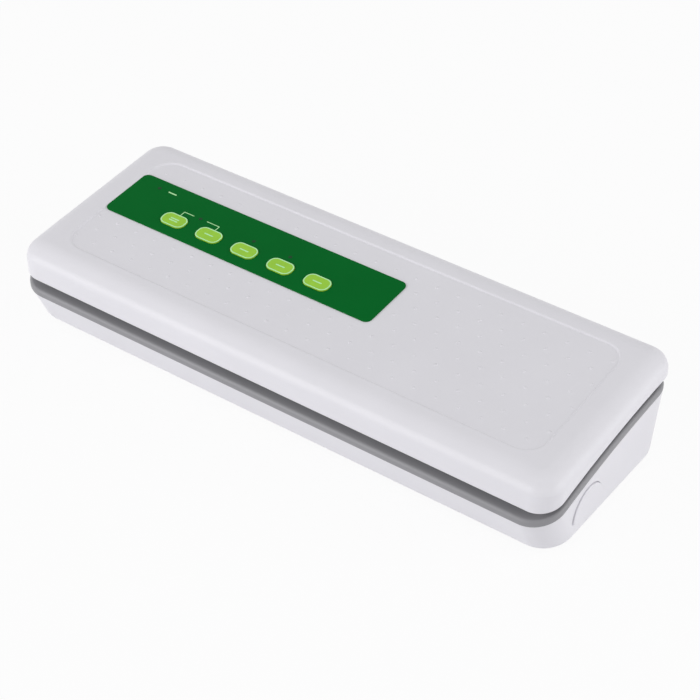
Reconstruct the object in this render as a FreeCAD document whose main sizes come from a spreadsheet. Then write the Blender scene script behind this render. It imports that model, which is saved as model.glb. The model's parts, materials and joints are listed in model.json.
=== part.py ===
import FreeCAD, Part
import math
import os
import Sketcher
from FreeCAD import Placement, Rotation, Vector

# Bench-top vacuum sealer. +X runs along the bar to the right, +Y to the back, +Z up.
# The origin is on the table under the middle of the machine.

SIZES = {
    # Lid
    "lid_width": 372,
    "lid_depth": 131.6,
    "lid_front_height": 20.3,
    "lid_tilt": 4.5,
    "lid_droop": 0.6,
    "lid_crease_back": 42,
    "lid_corner_front": 14,
    "lid_corner_back": 14,
    "lid_shoulder_drop": 5.5,
    "lid_shoulder_reach": 9,
    "lid_crest_radius": 16,
    "lid_edge_radius": 8,
    "lid_wall": 2.4,
    "recess_depth": 0.8,
    "recess_side_margin": 20.8,
    "recess_end_margin": 17,
    "recess_corner": 14,
    # Arched seam between lid and base, as seen from the side
    "seam_front_height": 36.6,
    "seam_rise": 17.4,
    "seam_bulge": 3.75,
    "band_drop": 8.75,
    "deck_gap": 5,
    # Base housing
    "front_lip": 2.1,
    "base_height": 1.5,
    "base_front_lean": 11.8,
    "base_back_lean": 8.8,
    "base_corner_front": 18,
    "base_corner_back": 18,
    "base_edge_radius": 7,
    "base_wall": 2.4,
    # Work deck, measured up the slope from the lid's front edge
    "lip_radius": 2.2,
    "deck_floor": 6,
    "tray_front": 2.5,
    "tray_depth": 11,
    "pocket_margin": 26,
    "pocket_front": 10.5,
    "pocket_back_room": 12,
    "pocket_corner": 12,
    "trough_margin": 48,
    "trough_front": 44,
    "trough_width": 22,
    "trough_depth": 12,
    "trough_corner": 8,
    "tub_wall": 2.5,
    # Gaskets
    "gasket_margin": 36,
    "gasket_front": 37,
    "gasket_back_room": 19,
    "gasket_corner": 16,
    "gasket_width": 6,
    "groove_depth": 2.5,
    "gasket_top": 2.7,
    # Heater and the silicone strip over it
    "carrier_margin": 31,
    "carrier_front": 16,
    "carrier_width": 12,
    "carrier_seat": 2.5,
    "carrier_top": 3.2,
    "heater_margin": 3,
    "heater_width": 5,
    "heater_thickness": 0.3,
    "tape_width": 10,
    "tape_thickness": 0.2,
    "strip_inset": 1,
    "strip_round": 1,
    # Liner of the lid
    "liner_gap": 1.2,
    "liner_back_room": 5.6,
    "liner_height": 1,
    "liner_thickness": 2.5,
    "chamber_front": 41,
    "chamber_width": 16,
    "chamber_depth": 3.5,
    "chamber_wall": 1.5,
    "upper_groove_depth": 1.6,
    # Hinge
    "hinge_inset": 8.5,
    "hinge_drop": 1.4,
    "pin_diameter": 5,
    "pin_clearance": 0.05,
    "ear_radius": 4.5,
    "ear_stem_back": 1,
    "ear_width": 7,
    "ear_margin": 36,
    "ear_arm": 13,
    "ear_arm_drop": 2,
    "channel_radius": 9.5,
    "channel_floor": 14,
    "channel_front_room": 13,
    "channel_margin": 3,
    # Latches
    "hook_margin": 16,
    "hook_front": 6,
    "hook_width": 8,
    "hook_thickness": 4,
    "hook_length": 14,
    "hook_nose": 3,
    "hook_room": 1.5,
    "latch_gap": 0.5,
    "slider_thickness": 3,
    "slider_front": 4,
    "slider_overlap": 1.5,
    "slider_depth": 10,
    "slider_arm": 8,
    "button_travel": 3.5,
    "button_setback": 40.3,
    "button_centre_height": 16.5,
    "button_radius": 15,
    "button_flat_height": 15.5,
    "button_proud": 0.8,
    "button_flange": 1.8,
    "button_rim": 1.6,
    "spring_strip": 0.5,
    "spring_width": 6,
    "spring_length": 9,
    "spring_room": 11,
    "spring_setback": 2,
    "rib_thickness": 2,
    # Control panel and keys
    "panel_length": 196.1,
    "panel_front": -10.1,
    "panel_width": 40.2,
    "panel_thickness": 0.6,
    "panel_corner": 4,
    "key_first": 44.6,
    "key_pitch": 26.7,
    "key_row": 12.7,
    "key_length": 17.2,
    "key_width": 10.8,
    "key_corner": 4.6,
    "key_proud": 0.7,
    "key_travel": 0.5,
    "key_flange": 1.6,
    "key_rim": 1.2,
    "board_margin": 3,
    "board_front_room": 9,
    "board_back_room": 22,
    "board_thickness": 1.2,
    "board_post_diameter": 5,
    "board_post_inset": 5,
    "board_post_spread": 6,
    "switch_side": 6,
    "switch_height": 2,
    "plunger_height": 0.4,
    "plunger_diameter": 3.4,
    "led_diameter": 3,
    # Pump
    "pump_inset": 69.6,
    "pump_y": 22,
    "pump_axis_height": 15.5,
    "crankcase_length": 26,
    "crankcase_wall": 3,
    "crankcase_nose": 5,
    "motor_diameter": 22.6,
    "motor_length": 40,
    "motor_boss_diameter": 8,
    "motor_boss_length": 3,
    "motor_end": 6,
    "shaft_diameter": 4,
    "crank_throw": 1.5,
    "crank_disc_diameter": 14,
    "crank_disc_thickness": 4,
    "crank_pin_diameter": 4,
    "crank_pin_length": 8,
    "rod_eye_wall": 2,
    "rod_eye_width": 6,
    "rod_thickness": 4,
    "diaphragm_diameter": 17,
    "diaphragm_thickness": 2,
    "diaphragm_rim": 2,
    "head_thickness": 8,
    "head_drop": 2,
    "hose_diameter": 6.4,
    "hose_bore": 3.4,
    "hose_bend": 8,
    "hose_lead": 18,
    "nozzle_offset": 54,
    "nozzle_back": 12,
    "nozzle_stem": 6,
    "nozzle_flange": 2.5,
    "nozzle_flange_thickness": 1.2,
    # Electronics
    "inner_room": 4.5,
    "transformer_inset": 23.6,
    "transformer_front": 6,
    "transformer_length": 48,
    "transformer_depth": 36,
    "transformer_height": 24,
    "coil_inset": 11,
    "coil_reach": 6,
    "coil_drop": 3,
    "main_board_front": -4,
    "main_board_length": 80,
    "main_board_depth": 44,
    "main_board_height": 6,
    "main_post_diameter": 6,
    "main_post_inset": 6,
    "relay_length": 19,
    "relay_depth": 15,
    "relay_height": 14,
    "relay_setback": 14,
    "capacitor_diameter": 10,
    "capacitor_height": 17,
    "capacitor_setback": 24,
    "capacitor_room": 20,
    "pressure_can_diameter": 16,
    "pressure_can_height": 14,
    "pressure_spout_diameter": 4,
    "pressure_spout_length": 6,
    "pressure_switch_y": 14,
    "gland_inset": 58,
    "gland_height": 24,
    "gland_diameter": 12,
    "gland_bore": 6.4,
    "gland_rim": 2,
    "gland_rim_thickness": 3,
    "gland_proud": 2.5,
    "gland_bore_depth": 4,
    # Feet and fasteners
    "foot_diameter": 12,
    "foot_seat": 1,
    "foot_inset_x": 34,
    "foot_inset_y": 30,
    "screw_diameter": 3,
    "screw_head": 5.6,
    "screw_head_height": 1.4,
    "screw_bite": 3.5,
    "screw_grip": 5,
    "lid_screw_margin": 46,
    "lid_screw_front": 8.5,
    "lid_screw_back_room": 6.5,
    "lid_screw_depth": 5.5,
    "lid_post_diameter": 7,
    "base_screw_room": 5,
    "base_post_diameter": 9.5,
    # Clearances
    "slide_gap": 0.3,
    "seat_gap": 0.1,
}

doc = FreeCAD.newDocument("VacuumSealer")
sheet = doc.addObject("Spreadsheet::Sheet", "Sizes")
for row, (alias, amount) in enumerate(SIZES.items(), start=1):
    sheet.set(f"A{row}", alias)
    sheet.set(f"B{row}", str(amount))
    sheet.setAlias(f"B{row}", alias)
derived = doc.addObject("App::VarSet", "Derived")
doc.recompute()


class Size:
    """A number together with the formula that gives it from the sheet."""

    def __init__(self, number, formula):
        self.number = float(number)
        self.formula = formula

    def joined(self, sign, other, number):
        return Size(number, f"({self.formula} {sign} {as_size(other).formula})")

    def __add__(self, other):
        return self.joined("+", other, self.number + number_of(other))

    def __sub__(self, other):
        return self.joined("-", other, self.number - number_of(other))

    def __mul__(self, other):
        return self.joined("*", other, self.number * number_of(other))

    def __truediv__(self, other):
        return self.joined("/", other, self.number / number_of(other))

    def __radd__(self, other):
        return as_size(other) + self

    def __rsub__(self, other):
        return as_size(other) - self

    def __rmul__(self, other):
        return as_size(other) * self

    def __neg__(self):
        return as_size(0) - self


def as_size(value):
    return value if isinstance(value, Size) else Size(value, f"({float(value)!r})")


def number_of(value):
    return as_size(value).number


def cell(alias):
    return Size(float(sheet.get(alias)), f"Sizes.{alias}")


def derive(name, value):
    """Keep a worked-out size in the document under a name of its own."""
    derived.addProperty("App::PropertyFloat", name, "Derived")
    derived.setExpression(name, value.formula)
    return Size(value.number, f"Derived.{name}")


def sine(angle):
    return Size(math.sin(math.radians(angle.number)), f"sin({angle.formula})")


def cosine(angle):
    return Size(math.cos(math.radians(angle.number)), f"cos({angle.formula})")


def tangent(angle):
    return Size(math.tan(math.radians(angle.number)), f"tan({angle.formula})")


def arctangent(ratio):
    return Size(math.degrees(math.atan(ratio.number)), f"(atan({ratio.formula}) / 1 deg)")


def bind(obj, prop, value):
    obj.setExpression(prop, as_size(value).formula)


class Frame:
    """A plane tilted about X: x along the machine, u up the slope to the back, n along its normal."""

    def __init__(self, y, z, tilt):
        self.start_y = y
        self.start_z = z
        self.tilt = tilt
        self.rise = sine(tilt)
        self.run = cosine(tilt)

    def y(self, u, n):
        return self.start_y + u * self.run - n * self.rise

    def z(self, u, n):
        return self.start_z + u * self.rise + n * self.run


class Level:
    """The machine's own frame, used like a tilted one."""

    tilt = as_size(0)

    def y(self, u, n):
        return u

    def z(self, u, n):
        return n


# Outer form
half_width = derive("half_width", cell("lid_width") / 2)
middle_y = derive("middle_y", cell("front_lip") / 2)
lid_front = derive("lid_front", middle_y - cell("lid_depth") / 2)
lid_back = derive("lid_back", middle_y + cell("lid_depth") / 2)
seam_tilt = derive("seam_tilt", arctangent(cell("seam_rise") / cell("lid_depth")))
half_chord = derive("half_chord", cell("lid_depth") / (2 * cosine(seam_tilt)))
seam_radius = derive(
    "seam_radius",
    (half_chord * half_chord + cell("seam_bulge") * cell("seam_bulge")) / (2 * cell("seam_bulge")),
)
seam_reach = derive("seam_reach", seam_radius - cell("seam_bulge"))
seam_centre_y = derive("seam_centre_y", middle_y + seam_reach * sine(seam_tilt))
seam_centre_z = derive(
    "seam_centre_z",
    cell("seam_front_height") + cell("seam_rise") / 2 - seam_reach * cosine(seam_tilt),
)
lid_front_top = derive("lid_front_top", cell("seam_front_height") + cell("lid_front_height"))
lid_mid_top = derive("lid_mid_top", lid_front_top + cell("lid_depth") / 2 * tangent(cell("lid_tilt")))
base_front = derive("base_front", lid_front - cell("front_lip"))
band_front = derive("band_front", cell("seam_front_height") - cell("band_drop"))
band_back = derive("band_back", band_front + cell("seam_rise"))
floor_top = derive("floor_top", cell("base_height") + cell("base_wall"))
wall_inside = derive("wall_inside", half_width - cell("base_wall"))

LEVEL = Level()
DECK = Frame(lid_front, cell("seam_front_height"), seam_tilt)
TOP = Frame(middle_y, lid_mid_top, cell("lid_tilt"))

# Hinge axis, in the machine's frame and in the deck's plane
hinge_y = derive("hinge_y", lid_back - cell("hinge_inset"))
hinge_z = derive("hinge_z", cell("seam_front_height") + cell("seam_rise") - cell("hinge_drop"))
hinge_u = derive(
    "hinge_u",
    (hinge_y - lid_front) * DECK.run + (hinge_z - cell("seam_front_height")) * DECK.rise,
)
hinge_n = derive(
    "hinge_n",
    (hinge_z - cell("seam_front_height")) * DECK.run - (hinge_y - lid_front) * DECK.rise,
)
bore_radius = derive("bore_radius", cell("pin_diameter") / 2 + cell("pin_clearance"))
ear_inner = derive("ear_inner", half_width - cell("ear_margin"))
ear_split = derive("ear_split", ear_inner + cell("ear_width"))
ear_outer = derive("ear_outer", ear_split + cell("slide_gap") + cell("ear_width"))

# Deck, gaskets and liner
deck_floor = -cell("deck_floor")
tray_bottom = -cell("tray_depth")
trough_floor = -cell("trough_depth")
trough_back = derive("trough_back", cell("trough_front") + cell("trough_width"))
trough_half = derive("trough_half", half_width - cell("trough_margin"))
gasket_back = derive("gasket_back", hinge_u - cell("gasket_back_room"))
carrier_back = derive("carrier_back", cell("carrier_front") + cell("carrier_width"))
carrier_half = derive("carrier_half", half_width - cell("carrier_margin"))
liner_back = derive("liner_back", hinge_u - cell("liner_back_room"))
liner_bottom = cell("liner_height")
liner_top = derive("liner_top", cell("liner_height") + cell("liner_thickness"))

# Latches
hook_inner = derive("hook_inner", half_width - cell("hook_margin") - cell("hook_thickness") / 2)
hook_outer = derive("hook_outer", hook_inner + cell("hook_thickness"))
hook_back = derive("hook_back", cell("hook_front") + cell("hook_width"))
nose_tip = derive("nose_tip", hook_inner - cell("hook_nose"))
flange_inner = derive("flange_inner", wall_inside - cell("slide_gap") - cell("button_flange"))
slider_top = derive("slider_top", -(cell("hook_length") + cell("latch_gap")))
slider_edge = derive("slider_edge", nose_tip + cell("slider_overlap"))
slider_inner = derive("slider_inner", slider_edge - cell("slider_depth"))
button_y = derive("button_y", lid_front + cell("button_setback"))
rib_outer = derive("rib_outer", flange_inner - cell("spring_room"))
tray_half = derive("tray_half", flange_inner - cell("button_travel") - cell("slide_gap"))

# Control panel, keys and the board under them
panel_left = derive("panel_left", cell("recess_side_margin") - half_width + cell("slide_gap"))
panel_right = derive("panel_right", panel_left + cell("panel_length"))
lid_inside = derive("lid_inside", -(cell("lid_wall") + cell("recess_depth")))
recess_floor = -cell("recess_depth")
panel_top = derive("panel_top", cell("panel_thickness") - cell("recess_depth"))
key_underside = derive("key_underside", lid_inside - cell("slide_gap") - cell("key_flange"))
plunger_top = derive("plunger_top", key_underside - cell("key_travel") - cell("slide_gap"))
switch_top = derive("switch_top", plunger_top - cell("plunger_height"))
board_top = derive("board_top", switch_top - cell("switch_height"))
key_u = derive("key_u", cell("panel_front") + cell("key_row"))
KEY_NUMBERS = range(1, 6)
# How far the faces turn, in degrees, over the crest of the lid's shoulder and over its outer edge
SHALLOW_TURN = (5, 40)
STEEP_TURN = (50, 88)
# Indicator lights, by their distance along and up the panel
LED_PLACES = ((16.5, 32.7), (57, 22.6), (97.2, 23), (124.2, 23))

# Places inside the base, from its left wall and its right wall to the middle
foot_x = derive("foot_x", half_width - cell("foot_inset_x"))
foot_top = derive("foot_top", cell("base_height") + cell("foot_seat"))
post_room = derive("post_room", cell("inner_room") + cell("base_post_diameter") / 2)
transformer_left = derive("transformer_left", cell("transformer_inset") - wall_inside)
transformer_right = derive("transformer_right", transformer_left + cell("transformer_length"))
left_post_x = derive("left_post_x", transformer_right + post_room)
main_board_left = derive("main_board_left", left_post_x + post_room)
main_board_right = derive("main_board_right", main_board_left + cell("main_board_length"))
middle_post_x = derive("middle_post_x", main_board_right + post_room)
right_post_x = derive("right_post_x", foot_x - cell("foot_diameter") / 2 - post_room)
front_post_u = derive("front_post_u", (carrier_back + cell("gasket_front") - cell("gasket_width") / 2) / 2)
back_post_u = derive("back_post_u", gasket_back - cell("gasket_width") / 2 - cell("base_screw_room"))
board_seat = derive("board_seat", floor_top + cell("main_board_height"))
gland_x = derive("gland_x", cell("gland_inset") - half_width)
gland_radius = derive("gland_radius", cell("gland_diameter") / 2)

# Pump
pump_x = derive("pump_x", wall_inside - cell("pump_inset"))
pump_z = cell("pump_axis_height")
crank_left = derive("crank_left", pump_x - cell("crankcase_length") / 2)
crank_right = derive("crank_right", pump_x + cell("crankcase_length") / 2)
case_half = derive("case_half", cell("pump_axis_height") - floor_top)
case_front = derive("case_front", cell("pump_y") - case_half - cell("crankcase_nose"))
case_back = derive("case_back", cell("pump_y") + case_half)
membrane_front = derive("membrane_front", case_front - cell("diaphragm_thickness"))
nozzle_x = derive("nozzle_x", pump_x - cell("nozzle_offset"))
nozzle_u = derive("nozzle_u", cell("trough_front") + cell("nozzle_back"))


def place(obj, frame, x, u, n, turn=0):
    """Put an object's own origin at x, u, n of a frame, turned about X with it."""
    angle = frame.tilt + turn
    obj.Placement = Placement(Vector(), Rotation(Vector(1, 0, 0), angle.number))
    bind(obj, "Placement.Base.x", x)
    bind(obj, "Placement.Base.y", frame.y(as_size(u), as_size(n)))
    bind(obj, "Placement.Base.z", frame.z(as_size(u), as_size(n)))
    if angle.number:
        bind(obj, "Placement.Rotation.Angle", angle)


def box(name, frame, x, u, n):
    """A box between two values along each of a frame's directions."""
    block = doc.addObject("Part::Box", name)
    for prop, (low, high) in zip(("Length", "Width", "Height"), (x, u, n)):
        bind(block, prop, as_size(high) - low)
    place(block, frame, x[0], u[0], n[0])
    return block


def rod(name, frame, along, radius, x, u, n, length):
    """A cylinder that starts at x, u, n and runs along one of a frame's directions."""
    cylinder = doc.addObject("Part::Cylinder", name)
    bind(cylinder, "Radius", radius)
    bind(cylinder, "Height", length)
    if along == "n":
        place(cylinder, frame, x, u, n)
    elif along == "u":
        place(cylinder, frame, x, u, n, turn=-90)
    else:
        place(cylinder, LEVEL, x, frame.y(as_size(u), as_size(n)), frame.z(as_size(u), as_size(n)))
        cylinder.Placement = Placement(cylinder.Placement.Base, Rotation(Vector(0, 1, 0), 90))
    return cylinder


def joined(name, *pieces):
    fusion = doc.addObject("Part::MultiFuse", name)
    fusion.Shapes = list(pieces)
    fusion.Refine = True
    return fusion


def group(name, *pieces):
    """Separate solids of one kind that share a node."""
    compound = doc.addObject("Part::Compound", name)
    compound.Links = list(pieces)
    return compound


def less(name, base, *tools):
    result = doc.addObject("Part::Cut", name)
    result.Base = base
    result.Tool = tools[0] if len(tools) == 1 else joined(f"{name}_cuts", *tools)
    result.Refine = True
    return result


def shared(name, *pieces):
    common = doc.addObject("Part::MultiCommon", name)
    common.Shapes = list(pieces)
    common.Refine = True
    return common


def edge_numbers(shape, test):
    return [number for number, edge in enumerate(shape.Edges, start=1) if test(edge)]


def rounded(name, base, radius, test):
    """Round the edges of a piece that pass a test."""
    doc.recompute()
    fillet = doc.addObject("Part::Fillet", name)
    fillet.Base = base
    size = number_of(radius)
    fillet.Edges = [(number, size, size) for number in edge_numbers(base.Shape, test)]
    return fillet


def along_normal(frame):
    """A test for straight edges that run along a frame's normal."""
    angle = math.radians(frame.tilt.number)
    normal = Vector(0, -math.sin(angle), math.cos(angle))

    def test(edge):
        ends = edge.Vertexes
        if len(ends) < 2:
            return False
        run = ends[1].Point - ends[0].Point
        return run.Length > 0 and abs(run.dot(normal)) > 0.999 * run.Length

    return test


def tablet(name, frame, x, u, n, corner):
    """A plate with rounded corners."""
    return rounded(name, box(f"{name}_block", frame, x, u, n), corner, along_normal(frame))


def rounded_block(name, frame, x, u, n, front_corner, back_corner):
    """A plate whose front and back corners have radii of their own."""
    block = box(f"{name}_block", frame, x, u, n)
    front = rounded(f"{name}_front", block, front_corner, upright(-1))
    return rounded(name, front, back_corner, upright(1))


def seam_drum(name, drop):
    """The drum whose top is the arched seam, lowered by a distance."""
    reach = 2 * half_width
    return rod(name, LEVEL, "x", seam_radius - drop, -reach, seam_centre_y, seam_centre_z, 2 * reach)


def origin_plane(body, role):
    return next(item for item in body.Origin.OriginFeatures if item.Role == role)


def tangent_arc(start, end, following):
    """An arc from start to end that runs on smoothly into the line towards the following point."""
    tangent_way = (following - end).normalize()
    normal = Vector(tangent_way.y, -tangent_way.x, 0)
    chord = start - end
    radius = chord.Length**2 / (2 * chord.dot(normal))
    centre = end + normal * radius
    angles = [math.atan2(point.y - centre.y, point.x - centre.x) for point in (end, start)]
    return Part.ArcOfCircle(Part.Circle(centre, Vector(0, 0, 1), radius), *angles)


def outline(body, role, points, arc=None):
    """A closed sketch whose corners are bound to sizes; one side may be an arc tangent to the next."""
    sketch = body.newObject("Sketcher::SketchObject", f"{body.Name}_outline")
    sketch.AttachmentSupport = [(origin_plane(body, role), "")]
    sketch.MapMode = "FlatFace"
    corners = [Vector(number_of(a), number_of(b), 0) for a, b in points]
    count = len(corners)
    for index, corner in enumerate(corners):
        following = corners[(index + 1) % count]
        if index == arc:
            sketch.addGeometry(tangent_arc(corner, following, corners[(index + 2) % count]))
        else:
            sketch.addGeometry(Part.LineSegment(corner, following))
    for index in range(count):
        following = (index + 1) % count
        kind = "Tangent" if index == arc else "Coincident"
        finish = 1 if index == arc else 2
        begin = 2 if following == arc else 1
        sketch.addConstraint(Sketcher.Constraint(kind, index, finish, following, begin))
    for index, pair in enumerate(points):
        begin = 2 if index == arc else 1
        for kind, value in zip(("DistanceX", "DistanceY"), pair):
            constraint = Sketcher.Constraint(kind, -1, 1, index, begin, number_of(value))
            bind(sketch, f"Constraints[{sketch.addConstraint(constraint)}]", value)
    return sketch


def pad(body, sketch, length):
    """Material on both sides of a sketch."""
    feature = body.newObject("PartDesign::Pad", f"{body.Name}_pad")
    feature.Profile = sketch
    bind(feature, "Length", length)
    feature.Midplane = True
    doc.recompute()
    return feature


def soften(body, suffix, radius, test):
    """Round the edges of a body's tip that pass a test."""
    base = body.Tip
    fillet = body.newObject("PartDesign::Fillet", f"{body.Name}_{suffix}")
    fillet.Base = (base, [f"Edge{number}" for number in edge_numbers(base.Shape, test)])
    bind(fillet, "Radius", radius)
    doc.recompute()
    return fillet


def upright(side):
    """A test for corner edges at the front (-1) or the back (1)."""

    def test(edge):
        ends = edge.Vertexes
        if len(ends) < 2:
            return False
        run = ends[1].Point - ends[0].Point
        return abs(run.z) > 0.8 * run.Length and edge.CenterOfMass.y * side > 0

    return test


def rim_of(shape, way):
    """A test for the edges round the faces that look up (1) or down (-1)."""
    faces = []
    for face in shape.Faces:
        low_u, high_u, low_v, high_v = face.ParameterRange
        if face.normalAt((low_u + high_u) / 2, (low_v + high_v) / 2).z * way > 0.9:
            faces.append(face)

    def test(edge):
        return sum(any(edge.isSame(other) for other in face.Edges) for face in faces) == 1

    return test


def creased(shape, least, most):
    """A test for edges where two faces turn from each other by between two angles, in degrees."""

    def normal_of(face, point):
        return face.normalAt(*face.Surface.parameter(point))

    def test(edge):
        sides = [face for face in shape.Faces if any(edge.isSame(other) for other in face.Edges)]
        if len(sides) != 2:
            return False
        point = edge.valueAt(sum(edge.ParameterRange) / 2)
        first, second = [normal_of(face, point) for face in sides]
        return least < math.degrees(first.getAngle(second)) < most

    return test


def slope_rim(body, drop, reach, test):
    """Slope the edges of a body's tip that pass a test: down the wall by a drop, over the top by a reach."""
    base = body.Tip
    chamfer = body.newObject("PartDesign::Chamfer", f"{body.Name}_shoulder")
    chamfer.Base = (base, [f"Edge{number}" for number in edge_numbers(base.Shape, test)])
    chamfer.ChamferType = "Two distances"
    bind(chamfer, "Size", drop)
    bind(chamfer, "Size2", reach)
    doc.recompute()
    return chamfer


def lid_block(name, inset, lowered):
    """The lid's block with its sloping shoulder, pulled in and lowered for the space inside it."""
    body = doc.addObject("PartDesign::Body", name)
    slope = tangent(cell("lid_tilt"))
    front = lid_front + inset
    back = lid_back - inset
    crease = lid_front + cell("lid_crease_back")
    below = band_front - inset
    top = lid_front_top - lowered
    points = [
        (front, below),
        (front, top - cell("lid_droop")),
        (crease, top + slope * cell("lid_crease_back")),
        (back, top + slope * (back - lid_front)),
        (back, below),
    ]
    pad(body, outline(body, "YZ_Plane", points, arc=1), 2 * (half_width - inset))
    soften(body, "front_corners", cell("lid_corner_front") - inset, upright(-1))
    soften(body, "back_corners", cell("lid_corner_back") - inset, upright(1))
    reach = cell("lid_shoulder_reach") - inset
    drop = cell("lid_shoulder_drop") * reach / cell("lid_shoulder_reach")
    slope_rim(body, drop, reach, rim_of(body.Tip.Shape, 1))
    return body


def front_wall(height, inset):
    """Where the leaning front wall of the base lies at a height, pulled in by an inset."""
    slope = cell("base_front_lean") / (band_front - cell("base_height"))
    return base_front + inset + (band_front - height) * slope


def back_wall(height, inset):
    """Where the leaning back wall of the base lies at a height, pulled in by an inset."""
    slope = cell("base_back_lean") / (band_back - cell("base_height"))
    return lid_back - inset - (band_back - height) * slope


def base_block(name, inset):
    """The base's block with leaning front and back walls, pulled in for the space inside it."""
    body = doc.addObject("PartDesign::Body", name)
    bottom = cell("base_height") + inset
    high = hinge_z + cell("channel_radius")
    points = [
        (front_wall(bottom, inset), bottom),
        (back_wall(bottom, inset), bottom),
        (back_wall(high, inset), high),
        (front_wall(high, inset), high),
    ]
    pad(body, outline(body, "YZ_Plane", points), 2 * (half_width - inset))
    soften(body, "front_corners", cell("base_corner_front") - inset, upright(-1))
    soften(body, "back_corners", cell("base_corner_back") - inset, upright(1))
    soften(body, "rim", cell("base_edge_radius") - inset, rim_of(body.Tip.Shape, -1))
    return body


def mirrored(name, piece):
    """The same piece on the other side of the machine."""
    mirror = doc.addObject("Part::Mirroring", name)
    mirror.Source = piece
    mirror.Normal = Vector(1, 0, 0)
    return mirror


nodes = {}


def keep(label, piece):
    """Give a finished sub-part the label that names its file."""
    piece.Label = label
    nodes[label] = piece
    return piece


def both_sides(stem, piece):
    keep(f"{stem}_right", piece)
    keep(f"{stem}_left", mirrored(f"{stem}_mirror", piece))


def key_x(number):
    return panel_left + cell("key_first") + cell("key_pitch") * (number - 1)


def key_window(name, number, low, high, growth):
    """The rounded shape of a key, let out by a clearance."""
    half_length = cell("key_length") / 2 + growth
    half_depth = cell("key_width") / 2 + growth
    middle = key_x(number)
    return tablet(
        name,
        TOP,
        (middle - half_length, middle + half_length),
        (key_u - half_depth, key_u + half_depth),
        (low, high),
        cell("key_corner") + growth,
    )


def lid_screw_places():
    side = half_width - cell("lid_screw_margin")
    rows = (cell("lid_screw_front"), liner_back - cell("lid_screw_back_room"))
    return [(x, u) for u in rows for x in (-side, as_size(0), side)]


def board_post_places():
    inset = cell("board_margin") + cell("board_post_inset")
    spread = cell("board_post_spread")
    return [(x, key_u + way * spread) for x in (panel_left + inset, panel_right - inset) for way in (-1, 1)]


def led_places():
    return [(panel_left + x, cell("panel_front") + u) for x, u in LED_PLACES]


def make_lid_shell():
    outer = lid_block("lid_outer", as_size(0), as_size(0))
    soften(outer, "crest", cell("lid_crest_radius"), creased(outer.Tip.Shape, *SHALLOW_TURN))
    soften(outer, "rim", cell("lid_edge_radius"), creased(outer.Tip.Shape, *STEEP_TURN))
    inner = lid_block("lid_inner", cell("lid_wall"), cell("lid_wall") + cell("recess_depth"))
    posts = []
    for x, u in lid_screw_places():
        radius = cell("lid_post_diameter") / 2
        posts.append(rod("lid_post", DECK, "n", radius, x, u, liner_top, cell("lid_front_height")))
    for x, u in board_post_places():
        radius = cell("board_post_diameter") / 2
        posts.append(rod("board_post", TOP, "n", radius, x, u, board_top, -board_top))
    skin = less("lid_skin", outer, inner, seam_drum("lid_seam_drum", as_size(0)))
    body = joined("lid_body", skin, shared("lid_posts", outer, joined("post_set", *posts)))
    half_recess = half_width - cell("recess_side_margin")
    half_span = cell("lid_depth") / 2 - cell("recess_end_margin")
    recess = tablet(
        "lid_recess",
        TOP,
        (-half_recess, half_recess),
        (-half_span, half_span),
        (recess_floor, cell("lid_wall")),
        cell("recess_corner"),
    )
    cuts = [recess]
    through = lid_inside - cell("lid_wall")
    for number in KEY_NUMBERS:
        hole = key_window(f"lid_key_hole_{number}", number, through, cell("lid_wall"), cell("slide_gap"))
        cuts.append(hole)
    for x, u in led_places():
        radius = cell("led_diameter") / 2 + cell("slide_gap")
        cuts.append(rod("led_hole", TOP, "n", radius, x, u, through, -through))
    for x, u in lid_screw_places():
        radius = cell("screw_diameter") / 2
        cuts.append(rod("post_hole", DECK, "n", radius, x, u, liner_top, cell("lid_screw_depth")))
    keep("lid_shell", less("lid_shell", body, *cuts))


def make_control_panel():
    front = cell("panel_front")
    sheet_piece = tablet(
        "panel_sheet",
        TOP,
        (panel_left, panel_right),
        (front, front + cell("panel_width")),
        (recess_floor, panel_top),
        cell("panel_corner"),
    )
    windows = []
    for number in KEY_NUMBERS:
        span = (lid_inside, cell("lid_wall"))
        windows.append(key_window(f"panel_window_{number}", number, *span, cell("slide_gap")))
    keep("control_panel", less("control_panel", sheet_piece, *windows))


def make_keys():
    for number in KEY_NUMBERS:
        top = panel_top + cell("key_proud")
        shoulder = key_underside + cell("key_flange")
        cap = key_window(f"key_cap_{number}", number, key_underside, top, 0)
        flange = key_window(f"key_flange_{number}", number, key_underside, shoulder, cell("key_rim"))
        keep(f"key_{number}", joined(f"key_{number}", cap, flange))


def make_control_board():
    margin = cell("board_margin")
    board = box(
        "control_board",
        TOP,
        (panel_left + margin, panel_right - margin),
        (key_u - cell("board_front_room"), key_u + cell("board_back_room")),
        (board_top - cell("board_thickness"), board_top),
    )
    keep("control_board", board)
    switches = []
    half = cell("switch_side") / 2
    for number in KEY_NUMBERS:
        x = key_x(number)
        across = (key_u - half, key_u + half)
        body = box("switch_body", TOP, (x - half, x + half), across, (board_top, switch_top))
        radius = cell("plunger_diameter") / 2
        plunger = rod("switch_plunger", TOP, "n", radius, x, key_u, switch_top, cell("plunger_height"))
        switches.append(joined(f"switch_{number}", body, plunger))
    keep("tact_switches", group("tact_switches", *switches))
    lights = []
    for x, u in led_places():
        height = recess_floor - cell("seat_gap") - board_top
        lights.append(rod("led", TOP, "n", cell("led_diameter") / 2, x, u, board_top, height))
    keep("indicator_leds", group("indicator_leds", *lights))


def gasket_ring(name, low, high, width):
    """A closed band with rounded corners along the gaskets' line."""
    half = width / 2
    reach = half_width - cell("gasket_margin")
    front = cell("gasket_front")
    outer = tablet(
        f"{name}_outer",
        DECK,
        (-(reach + half), reach + half),
        (front - half, gasket_back + half),
        (low, high),
        cell("gasket_corner") + half,
    )
    inner = tablet(
        f"{name}_inner",
        DECK,
        (half - reach, reach - half),
        (front + half, gasket_back - half),
        (low - half, high + half),
        cell("gasket_corner") - half,
    )
    return less(name, outer, inner)


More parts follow.
